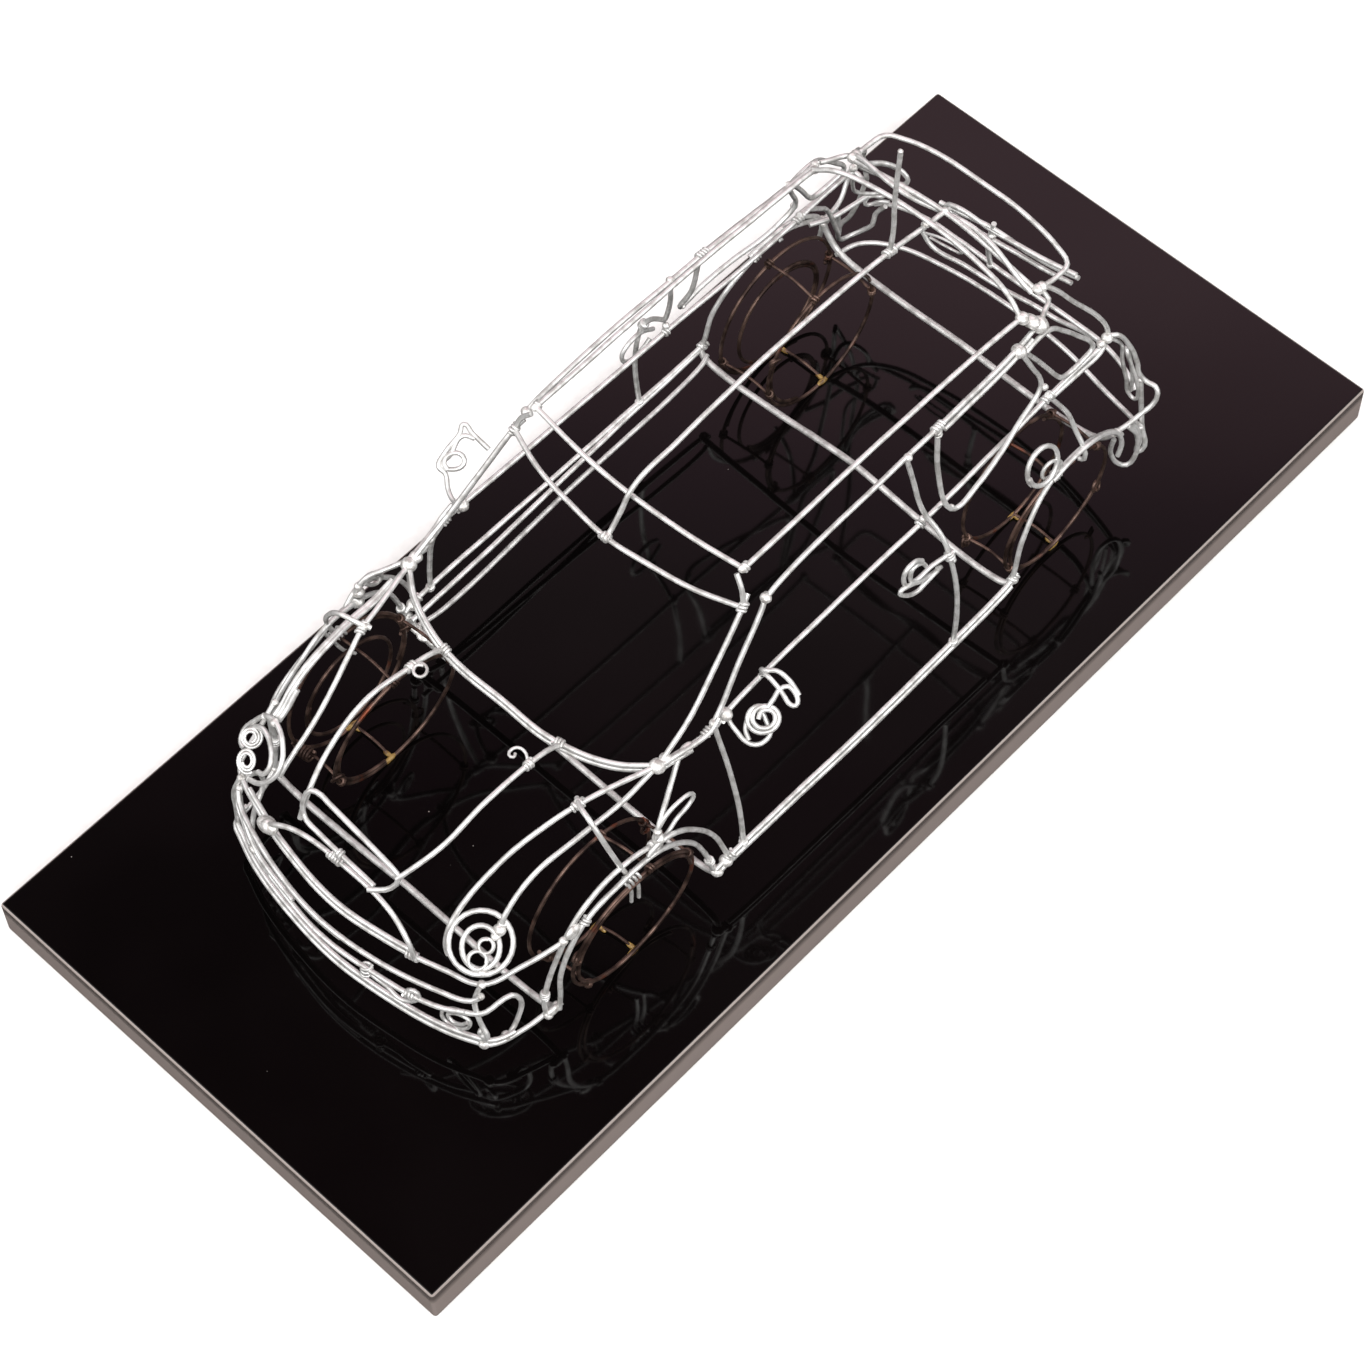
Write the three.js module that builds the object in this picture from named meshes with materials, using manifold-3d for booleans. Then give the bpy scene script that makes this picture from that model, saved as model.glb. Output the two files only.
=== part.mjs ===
import * as THREE from "three";
import { mergeVertices } from "three/addons/utils/BufferGeometryUtils.js";
import Module from "manifold-3d";

const wasm = await Module();
wasm.setup();

// Board: a flat rectangle lying along the car, with eased top edges
const boardLength = 350;
const boardWidth = 151;
const boardHeight = 13;
const boardEdge = 0.8;

// Wire gauges and the way the wire is drawn
const bodyWire = 0.75;
const floorWire = 0.95;
const wheelWire = 0.5;
const wireSides = 6;
const wheelSides = 5;
const bendStep = 12;
const archStep = 7;
const loopStep = 6;
const curlStep = 3.4;
const jointGap = 1.9;

// Wheels: two thin rings each, tied across, standing on the board
const wheelRadius = 19.8;
const frontAxle = -80;
const rearAxle = 77.8;
const ringInner = 33.5;
const ringOuter = 46.8;
const tiesPerWheel = 4;
const ringSegments = 18;
const standGap = 0.3;

// Stations along the car, nose at minus Y
const noseY = -132.5;
const railY = -129.3;
const lampY = -115.4;
const floorFrontY = -106.6;
const bonnetKnotY = -81.6;
const cowlY = -61;
const sillFrontY = -53.8;
const doorFrontY = -45.4;
const headerY = -27.3;
const roofFrontY = -23.2;
const doorRearY = 31;
const sillRearY = 54.6;
const roofRearY = 74.3;
const tailgateY = 84.6;
const tailY = 97;
const beltRearY = 98.4;
const spoilerY = 99.3;
const bumperRearY = 116.3;

// Heights above the board
const floorHeight = 11;
const sillHeight = 18.3;
const bumperLowHeight = 10;
const bumperUpperHeight = 21.5;
const bumperMidHeight = 28;
const frontRailHeight = 34;
const lampHeight = 43;
const cowlHeight = 60.3;
const beltHeight = 62.2;
const headerHeight = 85.4;
const outerRailHeight = 88.2;
const railHeight = 93.6;
const roofCrown = 100.2;
const antennaTip = 135;
const tailRailHeight = 37;
const tailLowHeight = 27;
const plateBarHeight = 57;

// Half widths
const sillHalf = 53.7;
const sideHalf = 54.6;
const archHalf = 50;
const bumperHalf = 44;
const beltHalf = 42.2;
const cowlHalf = 41;
const outerRailHalf = 38.3;
const lampHalf = 36.8;
const bonnetKnotHalf = 35.4;
const railHalf = 33.3;
const tailgateHalf = 29.5;
const creaseHalf = 19.3;
const slotHalf = 14.2;
const plateBarHalf = 20;
const plateStemX = -8;

// Loops
const lampRing = 7.7;
const lampInnerRing = 5.2;
const lampTilt = [4, -4, 8.3];
const smallRingSegments = 12;
const fuelRing = 5.4;
const mirrorRing = 3.2;
const mirrorHalf = 50.6;
const mirrorY = -35;
const mirrorHeight = 60.4;
const fuelHalf = 49.4;
const fuelY = 67.7;
const fuelHeight = 53.2;

const silver = new THREE.MeshStandardMaterial({ color: "#d9d8d6", roughness: 0.32, metalness: 0.9 });
const brownWire = new THREE.MeshStandardMaterial({ color: "#5a463c", roughness: 0.5, metalness: 0.7 });
const blackLacquer = new THREE.MeshStandardMaterial({ color: "#141012", roughness: 0.12, metalness: 0 });

const part = new THREE.Group();
const car = new THREE.Group();
car.position.z = boardHeight;
part.add(car);

function at(x, y, z) {
  return new THREE.Vector3(x, y, z);
}

function roundSection(radius) {
  const section = new THREE.Shape();
  const sides = radius < bodyWire ? wheelSides : wireSides;
  for (let i = 0; i < sides; i++) {
    const angle = (i * 2 * Math.PI) / sides;
    const x = radius * Math.cos(angle);
    const y = radius * Math.sin(angle);
    if (i === 0) section.moveTo(x, y);
    else section.lineTo(x, y);
  }
  return section;
}

// A length of wire through hand-set points, its ends cut back where it meets another wire
function wire(points, { from = jointGap, to = jointGap, radius = bodyWire, step = bendStep } = {}) {
  const route = new THREE.CatmullRomCurve3(points, false, "centripetal");
  const length = route.getLength();
  const steps = Math.max(1, Math.round((length - from - to) / step));
  const samples = [];
  for (let i = 0; i <= steps; i++) {
    const along = from + ((length - from - to) * i) / steps;
    samples.push(route.getPointAt(Math.min(along / length, 1)));
  }
  const path = new THREE.CatmullRomCurve3(samples, false, "centripetal");
  return new THREE.ExtrudeGeometry(roundSection(radius), { steps, extrudePath: path, bevelEnabled: false });
}

function ring(radius, wireRadius, segments) {
  const sides = wireRadius < bodyWire ? wheelSides : wireSides;
  return new THREE.TorusGeometry(radius, wireRadius, sides, segments);
}

function solidOf(geometry) {
  const bare = geometry.clone();
  bare.deleteAttribute("normal");
  bare.deleteAttribute("uv");
  const merged = mergeVertices(bare, 1e-3);
  const vertProperties = merged.getAttribute("position").array;
  const triVerts = new Uint32Array(merged.index.array);
  return new wasm.Manifold(new wasm.Mesh({ numProp: 3, vertProperties, triVerts }));
}

// Several touching lengths of wire as one body
function fused(geometries) {
  let body = solidOf(geometries[0]);
  for (const geometry of geometries.slice(1)) {
    body = body.add(solidOf(geometry));
  }
  const mesh = body.getMesh();
  const result = new THREE.BufferGeometry();
  result.setAttribute("position", new THREE.BufferAttribute(new Float32Array(mesh.vertProperties), 3));
  result.setIndex(new THREE.BufferAttribute(new Uint32Array(mesh.triVerts), 1));
  return result;
}

function piece(name, geometry, material = silver, parent = car) {
  const mesh = new THREE.Mesh(geometry, material);
  mesh.name = name;
  parent.add(mesh);
  return mesh;
}

// The same route on the car's left (plus X) or right (minus X) side
function onSide(sign, points) {
  return points.map(([x, y, z]) => at(sign * x, y, z));
}

// A wire that crosses the car, given from its middle to its left end
function across(half) {
  const left = onSide(1, half);
  const right = onSide(-1, half.slice(1)).reverse();
  return [...right, ...left];
}

// Board
const outline = new THREE.Shape();
outline.moveTo(-boardWidth / 2 + boardEdge, -boardLength / 2 + boardEdge);
outline.lineTo(boardWidth / 2 - boardEdge, -boardLength / 2 + boardEdge);
outline.lineTo(boardWidth / 2 - boardEdge, boardLength / 2 - boardEdge);
outline.lineTo(-boardWidth / 2 + boardEdge, boardLength / 2 - boardEdge);
outline.closePath();
const boardShape = new THREE.ExtrudeGeometry(outline, {
  depth: boardHeight - 2 * boardEdge,
  bevelThickness: boardEdge,
  bevelSize: boardEdge,
  bevelSegments: 2,
});
boardShape.translate(0, 0, boardEdge);
piece("base_plate", boardShape, blackLacquer, part);

// Wheels
function wheel(sign, axle) {
  const hub = wheelRadius + wheelWire + standGap;
  const members = [];
  for (const x of [ringInner, ringOuter]) {
    const loop = ring(wheelRadius, wheelWire, ringSegments);
    loop.rotateY(Math.PI / 2);
    loop.translate(sign * x, axle, hub);
    members.push(loop);
  }
  for (let i = 0; i < tiesPerWheel; i++) {
    const angle = ((i + 0.5) * 2 * Math.PI) / tiesPerWheel;
    const y = axle + wheelRadius * Math.cos(angle);
    const z = hub + wheelRadius * Math.sin(angle);
    const tieRoute = onSide(sign, [[ringInner, y, z], [ringOuter, y, z]]);
    members.push(wire(tieRoute, { from: 0, to: 0, radius: wheelWire }));
  }
  return fused(members);
}

for (const [side, sign] of [["left", 1], ["right", -1]]) {
  piece(`wheel_front_${side}`, wheel(sign, frontAxle), brownWire);
  piece(`wheel_rear_${side}`, wheel(sign, rearAxle), brownWire);

  piece(`sill_${side}`, wire(onSide(sign, [
    [sillHalf, sillFrontY, sillHeight - 0.4],
    [sillHalf + 0.4, 0, sillHeight + 0.4],
    [sillHalf - 0.2, sillRearY, sillHeight + 2.3],
  ])));

  // Bonnet: a crease, and the outer edge with the wing top beside it
  piece(`bonnet_crease_${side}`, wire(onSide(sign, [
    [creaseHalf, -71.6, 59],
    [creaseHalf + 0.2, bonnetKnotY, 61.8],
    [creaseHalf + 0.6, -95.9, 63.4],
    [creaseHalf - 0.6, -109.9, 58.6],
    [slotHalf + 1.6, -119.4, 55],
  ])));
  piece(`bonnet_edge_${side}`, fused([
    wire(onSide(sign, [
      [cowlHalf, cowlY, cowlHeight],
      [36.7, -76.3, 61.8],
      [bonnetKnotHalf, bonnetKnotY, 62],
      [33.3, -88.3, 60.4],
      [29.6, -103.2, 54.1],
      [28.6, -117.7, 45.2],
    ]), { to: 2 * jointGap }),
    wire(onSide(sign, [
      [cowlHalf - 0.3, cowlY - 1.5, cowlHeight - 0.3],
      [cowlHalf - 0.3, -72, 57.8],
      [40, -85, 58.3],
      [38.3, -99.7, 56],
      [38.6, -109.6, 50],
    ]), { from: 0.5 }),
  ]));

  // Headlamp: two rings touching at the bottom, facing forward, up and out
  const lampOuter = ring(lampRing, bodyWire, ringSegments);
  const lampInner = ring(lampInnerRing, bodyWire, smallRingSegments);
  lampInner.translate(0, lampInnerRing - lampRing + bodyWire, 0);
  const lamp = piece(`headlamp_${side}`, fused([lampOuter, lampInner]));
  lamp.position.copy(at(sign * lampHalf, lampY, lampHeight));
  lamp.up.set(0, 0, 1);
  const lampAim = at(sign * lampTilt[0], lampTilt[1], lampTilt[2] + boardHeight);
  lamp.lookAt(lamp.position.clone().add(lampAim));

  // Front wheel arch with the wire that crosses the wing to it
  piece(`front_arch_${side}`, fused([
    wire(onSide(sign, [
      [archHalf, -105.4, 15.5],
      [archHalf - 1, -101.5, 31],
      [archHalf - 0.8, -92, 43],
      [archHalf - 0.6, -81.8, 48],
      [archHalf, -70, 45.5],
      [archHalf + 1, -61, 35],
      [archHalf + 2.2, -55.6, 18.5],
    ]), { step: archStep }),
    wire(onSide(sign, [
      [bonnetKnotHalf, bonnetKnotY, 62.3],
      [40.6, -83.4, 64.6],
      [46, -83.4, 58],
      [archHalf - 0.6, -81.8, 48],
    ]), { to: 0 }),
  ]));

  // Windscreen post, door pillar and the two roof rails
  piece(`windscreen_post_${side}`, wire(onSide(sign, [
    [cowlHalf, cowlY, cowlHeight],
    [40.4, -49.2, 66.6],
    [36.9, headerY, headerHeight],
  ])));
  piece(`door_pillar_${side}`, wire(onSide(sign, [
    [cowlHalf + 0.6, cowlY + 3.6, cowlHeight - 1.2],
    [42.7, -51, cowlHeight - 1.6],
    [43.3, doorFrontY - 0.6, 60.2],
    [41.2, -33.9, 72.2],
    [outerRailHalf + 0.4, -21.8, 84],
  ]), { to: 0 }));
  piece(`outer_rail_${side}`, wire(onSide(sign, [
    [outerRailHalf + 0.4, -21.6, 84.4],
    [outerRailHalf + 0.2, -14, 86.6],
    [outerRailHalf, 12, outerRailHeight],
    [outerRailHalf - 0.6, 46, outerRailHeight],
    [36.3, 77, outerRailHeight - 0.4],
  ])));
  piece(`inner_rail_${side}`, wire(onSide(sign, [
    [railHalf, roofFrontY, railHeight],
    [railHalf, 25.7, railHeight + 0.9],
    [railHalf, roofRearY, railHeight - 1.2],
  ])));

  // Belt line, and the tailgate edge that rises from its rear corner
  piece(`belt_${side}`, wire(onSide(sign, [
    [43.8, -44, beltHeight - 1.2],
    [beltHalf + 0.2, -4, beltHeight],
    [beltHalf - 0.1, 30, beltHeight],
    [beltHalf - 0.9, 63, beltHeight + 0.2],
    [beltHalf - 1.2, 93, beltHeight + 1.8],
    [beltHalf - 1.5, beltRearY, beltHeight + 3],
  ]), { to: 0 }));
  piece(`tailgate_edge_${side}`, wire(onSide(sign, [
    [beltHalf - 1.5, beltRearY, beltHeight + 3],
    [38.5, 96.8, 71],
    [tailgateHalf + 1, 87, 89.5],
  ])));

  // Door edges; the rear one rises as the pillar between the side windows and carries the handle
  piece(`door_front_${side}`, wire(onSide(sign, [
    [43.8, -44.2, 61],
    [48, doorFrontY + 0.2, 51.5],
    [50.9, doorFrontY, 42],
    [52.8, doorFrontY, 30],
    [sillHalf, doorFrontY, sillHeight],
  ])));
  piece(`door_rear_${side}`, fused([
    wire(onSide(sign, [
      [outerRailHalf - 0.2, 28, outerRailHeight],
      [39.6, 29.4, 78],
      [41.6, 30, 69.5],
      [44.7, doorRearY, 64],
      [48.4, doorRearY + 0.3, 60.2],
      [51, doorRearY, 55.8],
      [53.4, doorRearY, 47],
      [sideHalf, doorRearY, 34],
      [sillHalf, doorRearY + 0.4, sillHeight + 1],
    ])),
    wire(onSide(sign, [
      [50.6, doorRearY, 56.6],
      [50.2, 25.5, 57.4],
      [49.6, 18.5, 57.6],
      [50.6, 15, 56.4],
      [51.6, 17, 54.6],
      [51.6, 23, 54.8],
    ]), { from: 0, to: 0, step: curlStep }),
  ]));

  // Window loops in the rear side
  piece(`quarter_window_${side}`, fused([
    wire(onSide(sign, [
      [38.5, 38.6, 86.5],
      [40.4, 37.7, 73],
      [44, 37.2, 64],
      [45, 39, 61.6],
      [45, 47.4, 62.6],
      [43.8, 57.3, 65],
      [42.6, 70, 66.6],
      [41.4, 75.4, 70.4],
      [40.4, 75, 74],
      [37.9, 69.9, 86.2],
    ]), { step: loopStep }),
    wire(onSide(sign, [
      [38.6, 72, 84],
      [39.6, 77.5, 77],
      [41, 82, 68.4],
      [41.3, 84.5, 66.7],
      [41.2, 92.5, 67],
      [40.8, 93.6, 68.5],
      [39.3, 86.9, 78],
      [38, 81, 85.6],
      [37.8, 77, 86],
    ]), { from: 0, to: 0, step: loopStep }),
  ]));

  // Mirror: a small ring on a bracket from the belt, and a flag of wire that runs back to the belt
  const mirrorLoop = ring(mirrorRing, bodyWire, smallRingSegments);
  mirrorLoop.lookAt(at(sign * lampTilt[0], lampTilt[1], lampTilt[2]));
  mirrorLoop.translate(sign * mirrorHalf, mirrorY, mirrorHeight);
  piece(`mirror_${side}`, fused([
    mirrorLoop,
    wire(onSide(sign, [
      [beltHalf + 0.8, -38.5, beltHeight - 0.8],
      [47, -40.4, 58.6],
      [mirrorHalf, mirrorY - mirrorRing, mirrorHeight - 1.6],
    ]), { to: 0, step: loopStep }),
    wire(onSide(sign, [
      [beltHalf + 0.4, -26.6, beltHeight],
      [45, -27.6, 66],
      [49.4, -25.6, 65.8],
      [53.8, -26.4, 63.6],
      [53.4, -28.6, 62.7],
      [50.6, -29, 64],
      [mirrorHalf - 0.4, mirrorY + mirrorRing, mirrorHeight + 1.4],
    ]), { to: 0, step: curlStep }),
  ]));

  // Rear wheel arch with the body side wire hooked over it
  piece(`rear_arch_${side}`, fused([
    wire(onSide(sign, [
      [sillHalf - 0.4, sillRearY + 0.4, sillHeight + 2.4],
      [52.4, 58.6, 34],
      [50.6, 69.5, 44],
      [archHalf, 82.4, 46],
      [archHalf - 0.4, 92, 41.5],
      [archHalf - 0.2, tailY + 0.4, 36.6],
    ]), { step: archStep }),
    wire(onSide(sign, [
      [41.4, 79, beltHeight + 1.4],
      [45.1, 82.1, 56],
      [47.8, 82.7, 50.2],
      [archHalf, 82.4, 46],
    ]), { to: 0 }),
  ]));

  // Tail lamp: a loop down to the side, a post hooked under it, and a narrow inner loop
  piece(`tail_lamp_${side}`, fused([
    wire(onSide(sign, [
      [42.2, 102.8, 63.8],
      [44.4, 106, 60],
      [45.6, 108.6, 51.6],
      [46.4, 110.2, 44.6],
      [48.5, 110.8, 43.2],
      [51.4, 110.7, 42.4],
      [52, 109, 39.3],
      [archHalf + 0.9, 105.8, 37.2],
      [archHalf + 0.2, 101.5, 36.4],
      [archHalf - 0.1, tailY + 0.8, 36.8],
    ]), { from: 0, step: loopStep }),
    wire(onSide(sign, [
      [46.5, 110.3, 44],
      [48.5, 109.5, 33.3],
      [50.3, 108.5, 27.3],
      [51.8, 106.6, 21.6],
      [51.3, 103.6, 29],
      [archHalf + 0.4, 101.7, 36.4],
    ]), { from: 0, to: 0, step: loopStep }),
    wire(onSide(sign, [
      [43.4, 104.8, 61],
      [42.6, 106.4, 52],
      [43.2, 108.8, 41.6],
      [44.4, 109.8, 35],
      [46, 109.8, 38.4],
      [46.2, 109.8, 44],
    ]), { from: 0, to: 0, step: loopStep }),
  ]));
}

// Right side only: a second floor wire inside the sill
piece("floor_rail_right", wire(onSide(-1, [
  [50, -50.5, floorHeight + 0.6],
  [50, 0, 15.8],
  [50, 51.2, sillHeight + 1.4],
])));

// Floor cross wires
piece("floor_cross_front", wire(across([
  [0, floorFrontY, floorHeight - 0.5],
  [47, floorFrontY, floorHeight + 0.4],
]), { radius: floorWire }));
piece("floor_cross_cowl", wire(across([
  [0, sillFrontY, floorHeight - 0.9],
  [51, sillFrontY, floorHeight + 0.7],
]), { radius: floorWire }));
piece("floor_cross_rear", wire(across([
  [0, 53, sillHeight + 4],
  [51.4, 53.4, sillHeight + 0.6],
]), { radius: floorWire }));
piece("floor_cross_tail", wire(across([
  [0, tailY + 0.5, tailLowHeight],
  [43, tailY, tailLowHeight + 2],
]), { radius: floorWire }));

// Nose
piece("bumper_lower", wire(across([
  [0, noseY, bumperLowHeight],
  [16, -131.2, bumperLowHeight],
  [32, -128, bumperLowHeight],
  [40, -125, bumperLowHeight],
  [bumperHalf, -123, bumperLowHeight + 0.6],
  [47.4, -115, bumperLowHeight + 1.6],
  [archHalf - 1, -106, bumperLowHeight + 3],
])));
piece("bumper_upper", wire(across([
  [0, noseY - 0.8, bumperUpperHeight],
  [16, -131.6, bumperUpperHeight],
  [32, -127.8, bumperUpperHeight],
  [39.5, -124, bumperUpperHeight + 1.5],
  [43.6, -119, 25.4],
  [45, -114.6, 23.5],
  [45, -112.9, 18],
  [44.4, -115.6, 11.6],
]), { to: 0, from: 0, step: loopStep }));
piece("bumper_middle", wire(across([
  [0, noseY, bumperMidHeight],
  [16, -131, bumperMidHeight],
  [32, -126.7, bumperMidHeight],
  [39.5, -123.4, bumperMidHeight],
])));
piece("front_rail", fused([
  wire(across([
    [0, railY, frontRailHeight],
    [16, -127.6, frontRailHeight],
    [32, -123.6, frontRailHeight],
    [40.6, -120.4, frontRailHeight],
    [45, -112, frontRailHeight + 2.5],
    [archHalf - 1.4, -103, frontRailHeight + 5.5],
  ])),
  wire(across([
    [0, -124, 45.5],
    [12, -124.2, 44.5],
    [18, -125, 43],
    [23.4, -126.4, 39.6],
    [24, -126, frontRailHeight],
  ]), { from: 0, to: 0 }),
]));
piece("bonnet_slot", wire([
  at(9, -124.2, 49.4),
  at(2 - slotHalf, -123.3, 50.8),
  at(-slotHalf, -122.6, 52),
  at(-slotHalf, -121.4, 56.8),
  at(1.5 - slotHalf, -120, 60),
  at(4 - slotHalf, -119.3, 59.5),
  at(slotHalf - 3.5, -120, 56.2),
  at(slotHalf, -120.4, 53.8),
  at(slotHalf - 0.4, -122.4, 51.4),
  at(slotHalf - 2.2, -123.8, 50.2),
], { from: 0, to: 0, step: loopStep }));

// Windscreen and roof
piece("cowl", wire(across([
  [0, -71, 56.2],
  [creaseHalf - 2, -71.2, 57.7],
  [32.5, -66.9, 59],
  [cowlHalf, cowlY, cowlHeight],
]), { from: 0, to: 0 }));
piece("header_lower", wire(across([
  [0, -34.6, headerHeight - 0.4],
  [12, -33.6, headerHeight],
  [24, -31.7, headerHeight + 0.2],
  [36.9, headerY, headerHeight],
]), { from: 0, to: 0 }));
piece("header_upper", wire(across([
  [0, -25.3, railHeight - 1.4],
  [16, -25.3, railHeight],
  [railHalf, roofFrontY, railHeight],
]), { from: 0, to: 0 }));
piece("roof_centre", fused([
  wire([
    at(0, -33.6, headerHeight - 0.5),
    at(0, -29.4, 89.6),
    at(0, -25, railHeight + 1.5),
    at(0, -9, 97.6),
    at(0, 18.6, roofCrown),
    at(0, 50, 99.6),
    at(0, 64.6, 98.3),
    at(0, 78, 95.8),
    at(0, tailgateY, 95),
  ]),
  wire([at(0, 64.5, 98.3), at(0, 65.3, 116), at(0.2, 66.2, antennaTip)], { from: 0, to: 0 }),
]));
piece("roof_rear", wire(across([
  [0, 77.8, 98],
  [16, 77.3, 97],
  [28, 75.8, 95.2],
  [railHalf, roofRearY, railHeight - 1.2],
]), { from: 0, to: 0 }));
piece("tailgate_top", wire(across([
  [0, tailgateY, 95],
  [12, tailgateY - 0.4, 94.4],
  [tailgateHalf, tailgateY, 90.2],
]), { from: 0, to: 0 }));
piece("spoiler", wire(across([
  [0, spoilerY, 92.4],
  [14, 99.2, 91.8],
  [25, 98, 90],
  [29.8, 96.8, 89],
  [tailgateHalf + 0.4, tailgateY + 1.2, 90],
])));

// Tail
piece("bumper_rear_upper", wire(across([
  [0, bumperRearY, tailRailHeight],
  [20, bumperRearY + 0.2, tailRailHeight],
  [31, 116, tailRailHeight],
  [42, 113, tailRailHeight - 1],
])));
piece("bumper_rear_lower", wire([
  at(-43, tailY, tailLowHeight + 1.6),
  at(-42.4, 103.4, tailLowHeight + 0.6),
  at(-36.6, 109, tailLowHeight),
  at(-20, 113.6, tailLowHeight),
  at(0, 115.2, tailLowHeight),
  at(20, 114.4, tailLowHeight),
  at(36, 111.2, tailLowHeight),
  at(49.6, 107.4, tailLowHeight + 2.4),
], { to: 2 * jointGap }));

// Number-plate bar: a hairpin open at the left, on a stem that rises from the upper bumper band
piece("plate_bar", fused([
  wire([
    at(plateBarHalf - 0.4, 113.6, plateBarHeight - 1.1),
    at(12, 113.4, plateBarHeight - 2.6),
    at(0, 112.7, plateBarHeight - 3.4),
    at(2 - plateBarHalf, 111, plateBarHeight - 2.4),
    at(-plateBarHalf, 110.8, plateBarHeight - 0.9),
    at(2 - plateBarHalf, 111, plateBarHeight + 0.6),
    at(0, 112.6, plateBarHeight),
    at(12, 113.4, plateBarHeight + 1.3),
    at(plateBarHalf + 0.6, 113.8, plateBarHeight + 3),
  ], { from: 0, to: 0, step: loopStep }),
  wire([
    at(plateStemX, bumperRearY, tailRailHeight),
    at(plateStemX + 0.3, 114, 46),
    at(plateStemX + 1.4, 112.6, plateBarHeight - 4),
    at(plateStemX + 2.4, 112.2, plateBarHeight + 2.4),
  ], { to: 0 }),
]));

// Filler cap on the left rear side
const fillerCap = piece("filler_cap", ring(fuelRing, bodyWire, smallRingSegments));
fillerCap.position.copy(at(fuelHalf, fuelY, fuelHeight));
fillerCap.lookAt(at(fuelHalf + 9, fuelY, boardHeight + fuelHeight + 3));

export default part;
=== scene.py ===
import math
import random

import bpy
from mathutils import Matrix, Vector, noise


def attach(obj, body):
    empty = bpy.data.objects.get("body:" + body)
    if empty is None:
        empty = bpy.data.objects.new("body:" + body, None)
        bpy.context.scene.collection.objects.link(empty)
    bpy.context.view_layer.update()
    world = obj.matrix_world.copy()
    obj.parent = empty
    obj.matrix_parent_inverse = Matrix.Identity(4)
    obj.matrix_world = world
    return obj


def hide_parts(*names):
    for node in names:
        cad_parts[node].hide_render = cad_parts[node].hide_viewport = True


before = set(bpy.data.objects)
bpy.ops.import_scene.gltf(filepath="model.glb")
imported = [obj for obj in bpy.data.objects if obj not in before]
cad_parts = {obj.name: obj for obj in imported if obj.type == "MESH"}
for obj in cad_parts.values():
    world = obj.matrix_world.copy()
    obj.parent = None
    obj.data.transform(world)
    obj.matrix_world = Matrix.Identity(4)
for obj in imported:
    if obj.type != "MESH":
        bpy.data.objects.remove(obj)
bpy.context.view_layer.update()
bpy.ops.object.select_all(action="DESELECT")

mm = 0.001
boardTop = 13.0  # the car's heights are measured from the board's top face
handDraw = random.Random(41)  # small uneven touches of a hand-made thing
noise.seed_set(41)  # the same waver in every run
sides = (("left", 1), ("right", -1))
print("stage: frame loaded")


# materials: sRGB hex in, linear out
def colour(hexText):
    parts = [int(hexText[i:i + 2], 16) / 255 for i in (1, 3, 5)]
    return tuple(c / 12.92 if c <= 0.04045 else ((c + 0.055) / 1.055) ** 2.4 for c in parts) + (1.0,)


# a node with its settings, its ramp stops, and its inputs as links or plain values
def addNode(tree, kind, inputs=None, stops=(), **settings):
    made = tree.nodes.new(kind)
    for key, value in settings.items():
        setattr(made, key, value)
    for socket, source in (inputs or {}).items():
        if isinstance(source, bpy.types.NodeSocket):
            tree.links.new(source, made.inputs[socket])
        else:
            made.inputs[socket].default_value = source
    for k, (place, shade) in enumerate(stops):
        stop = made.color_ramp.elements[k] if k < 2 else made.color_ramp.elements.new(place)
        stop.position, stop.color = place, shade
    return made


def grey(value):
    return (value, value, value, 1.0)


# two ramp stops, from one shade to the next
def between(places, first, second):
    return list(zip(places, (first, second)))


# a pattern's scale from its real size
def perMm(size):
    return 1 / (size * mm)


def freshMaterial(name):
    material = bpy.data.materials.new(name)
    material.use_nodes = True
    tree = material.node_tree
    tree.nodes.clear()
    place = addNode(tree, "ShaderNodeTexCoord").outputs["Object"]
    return material, tree, place


def closeMaterial(tree, shader):
    addNode(tree, "ShaderNodeOutputMaterial", {"Surface": shader.outputs[0]})


wireLook = {
    "bright": "#e2e1df", "worn": "#b9b7b4", "patchMm": 3.0, "patchEdge": (0.36, 0.56),
    "under": "#2c2a29", "underFacing": (-0.15, -0.5),  # painted shade: darker on the side turned down towards the board
    "smoothest": 0.3, "roughest": 0.46, "roughEdge": (0.35, 0.65),
    "grainMm": 0.6, "bump": 0.08, "bumpMm": 0.1, "metal": 0.62,
}
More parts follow.
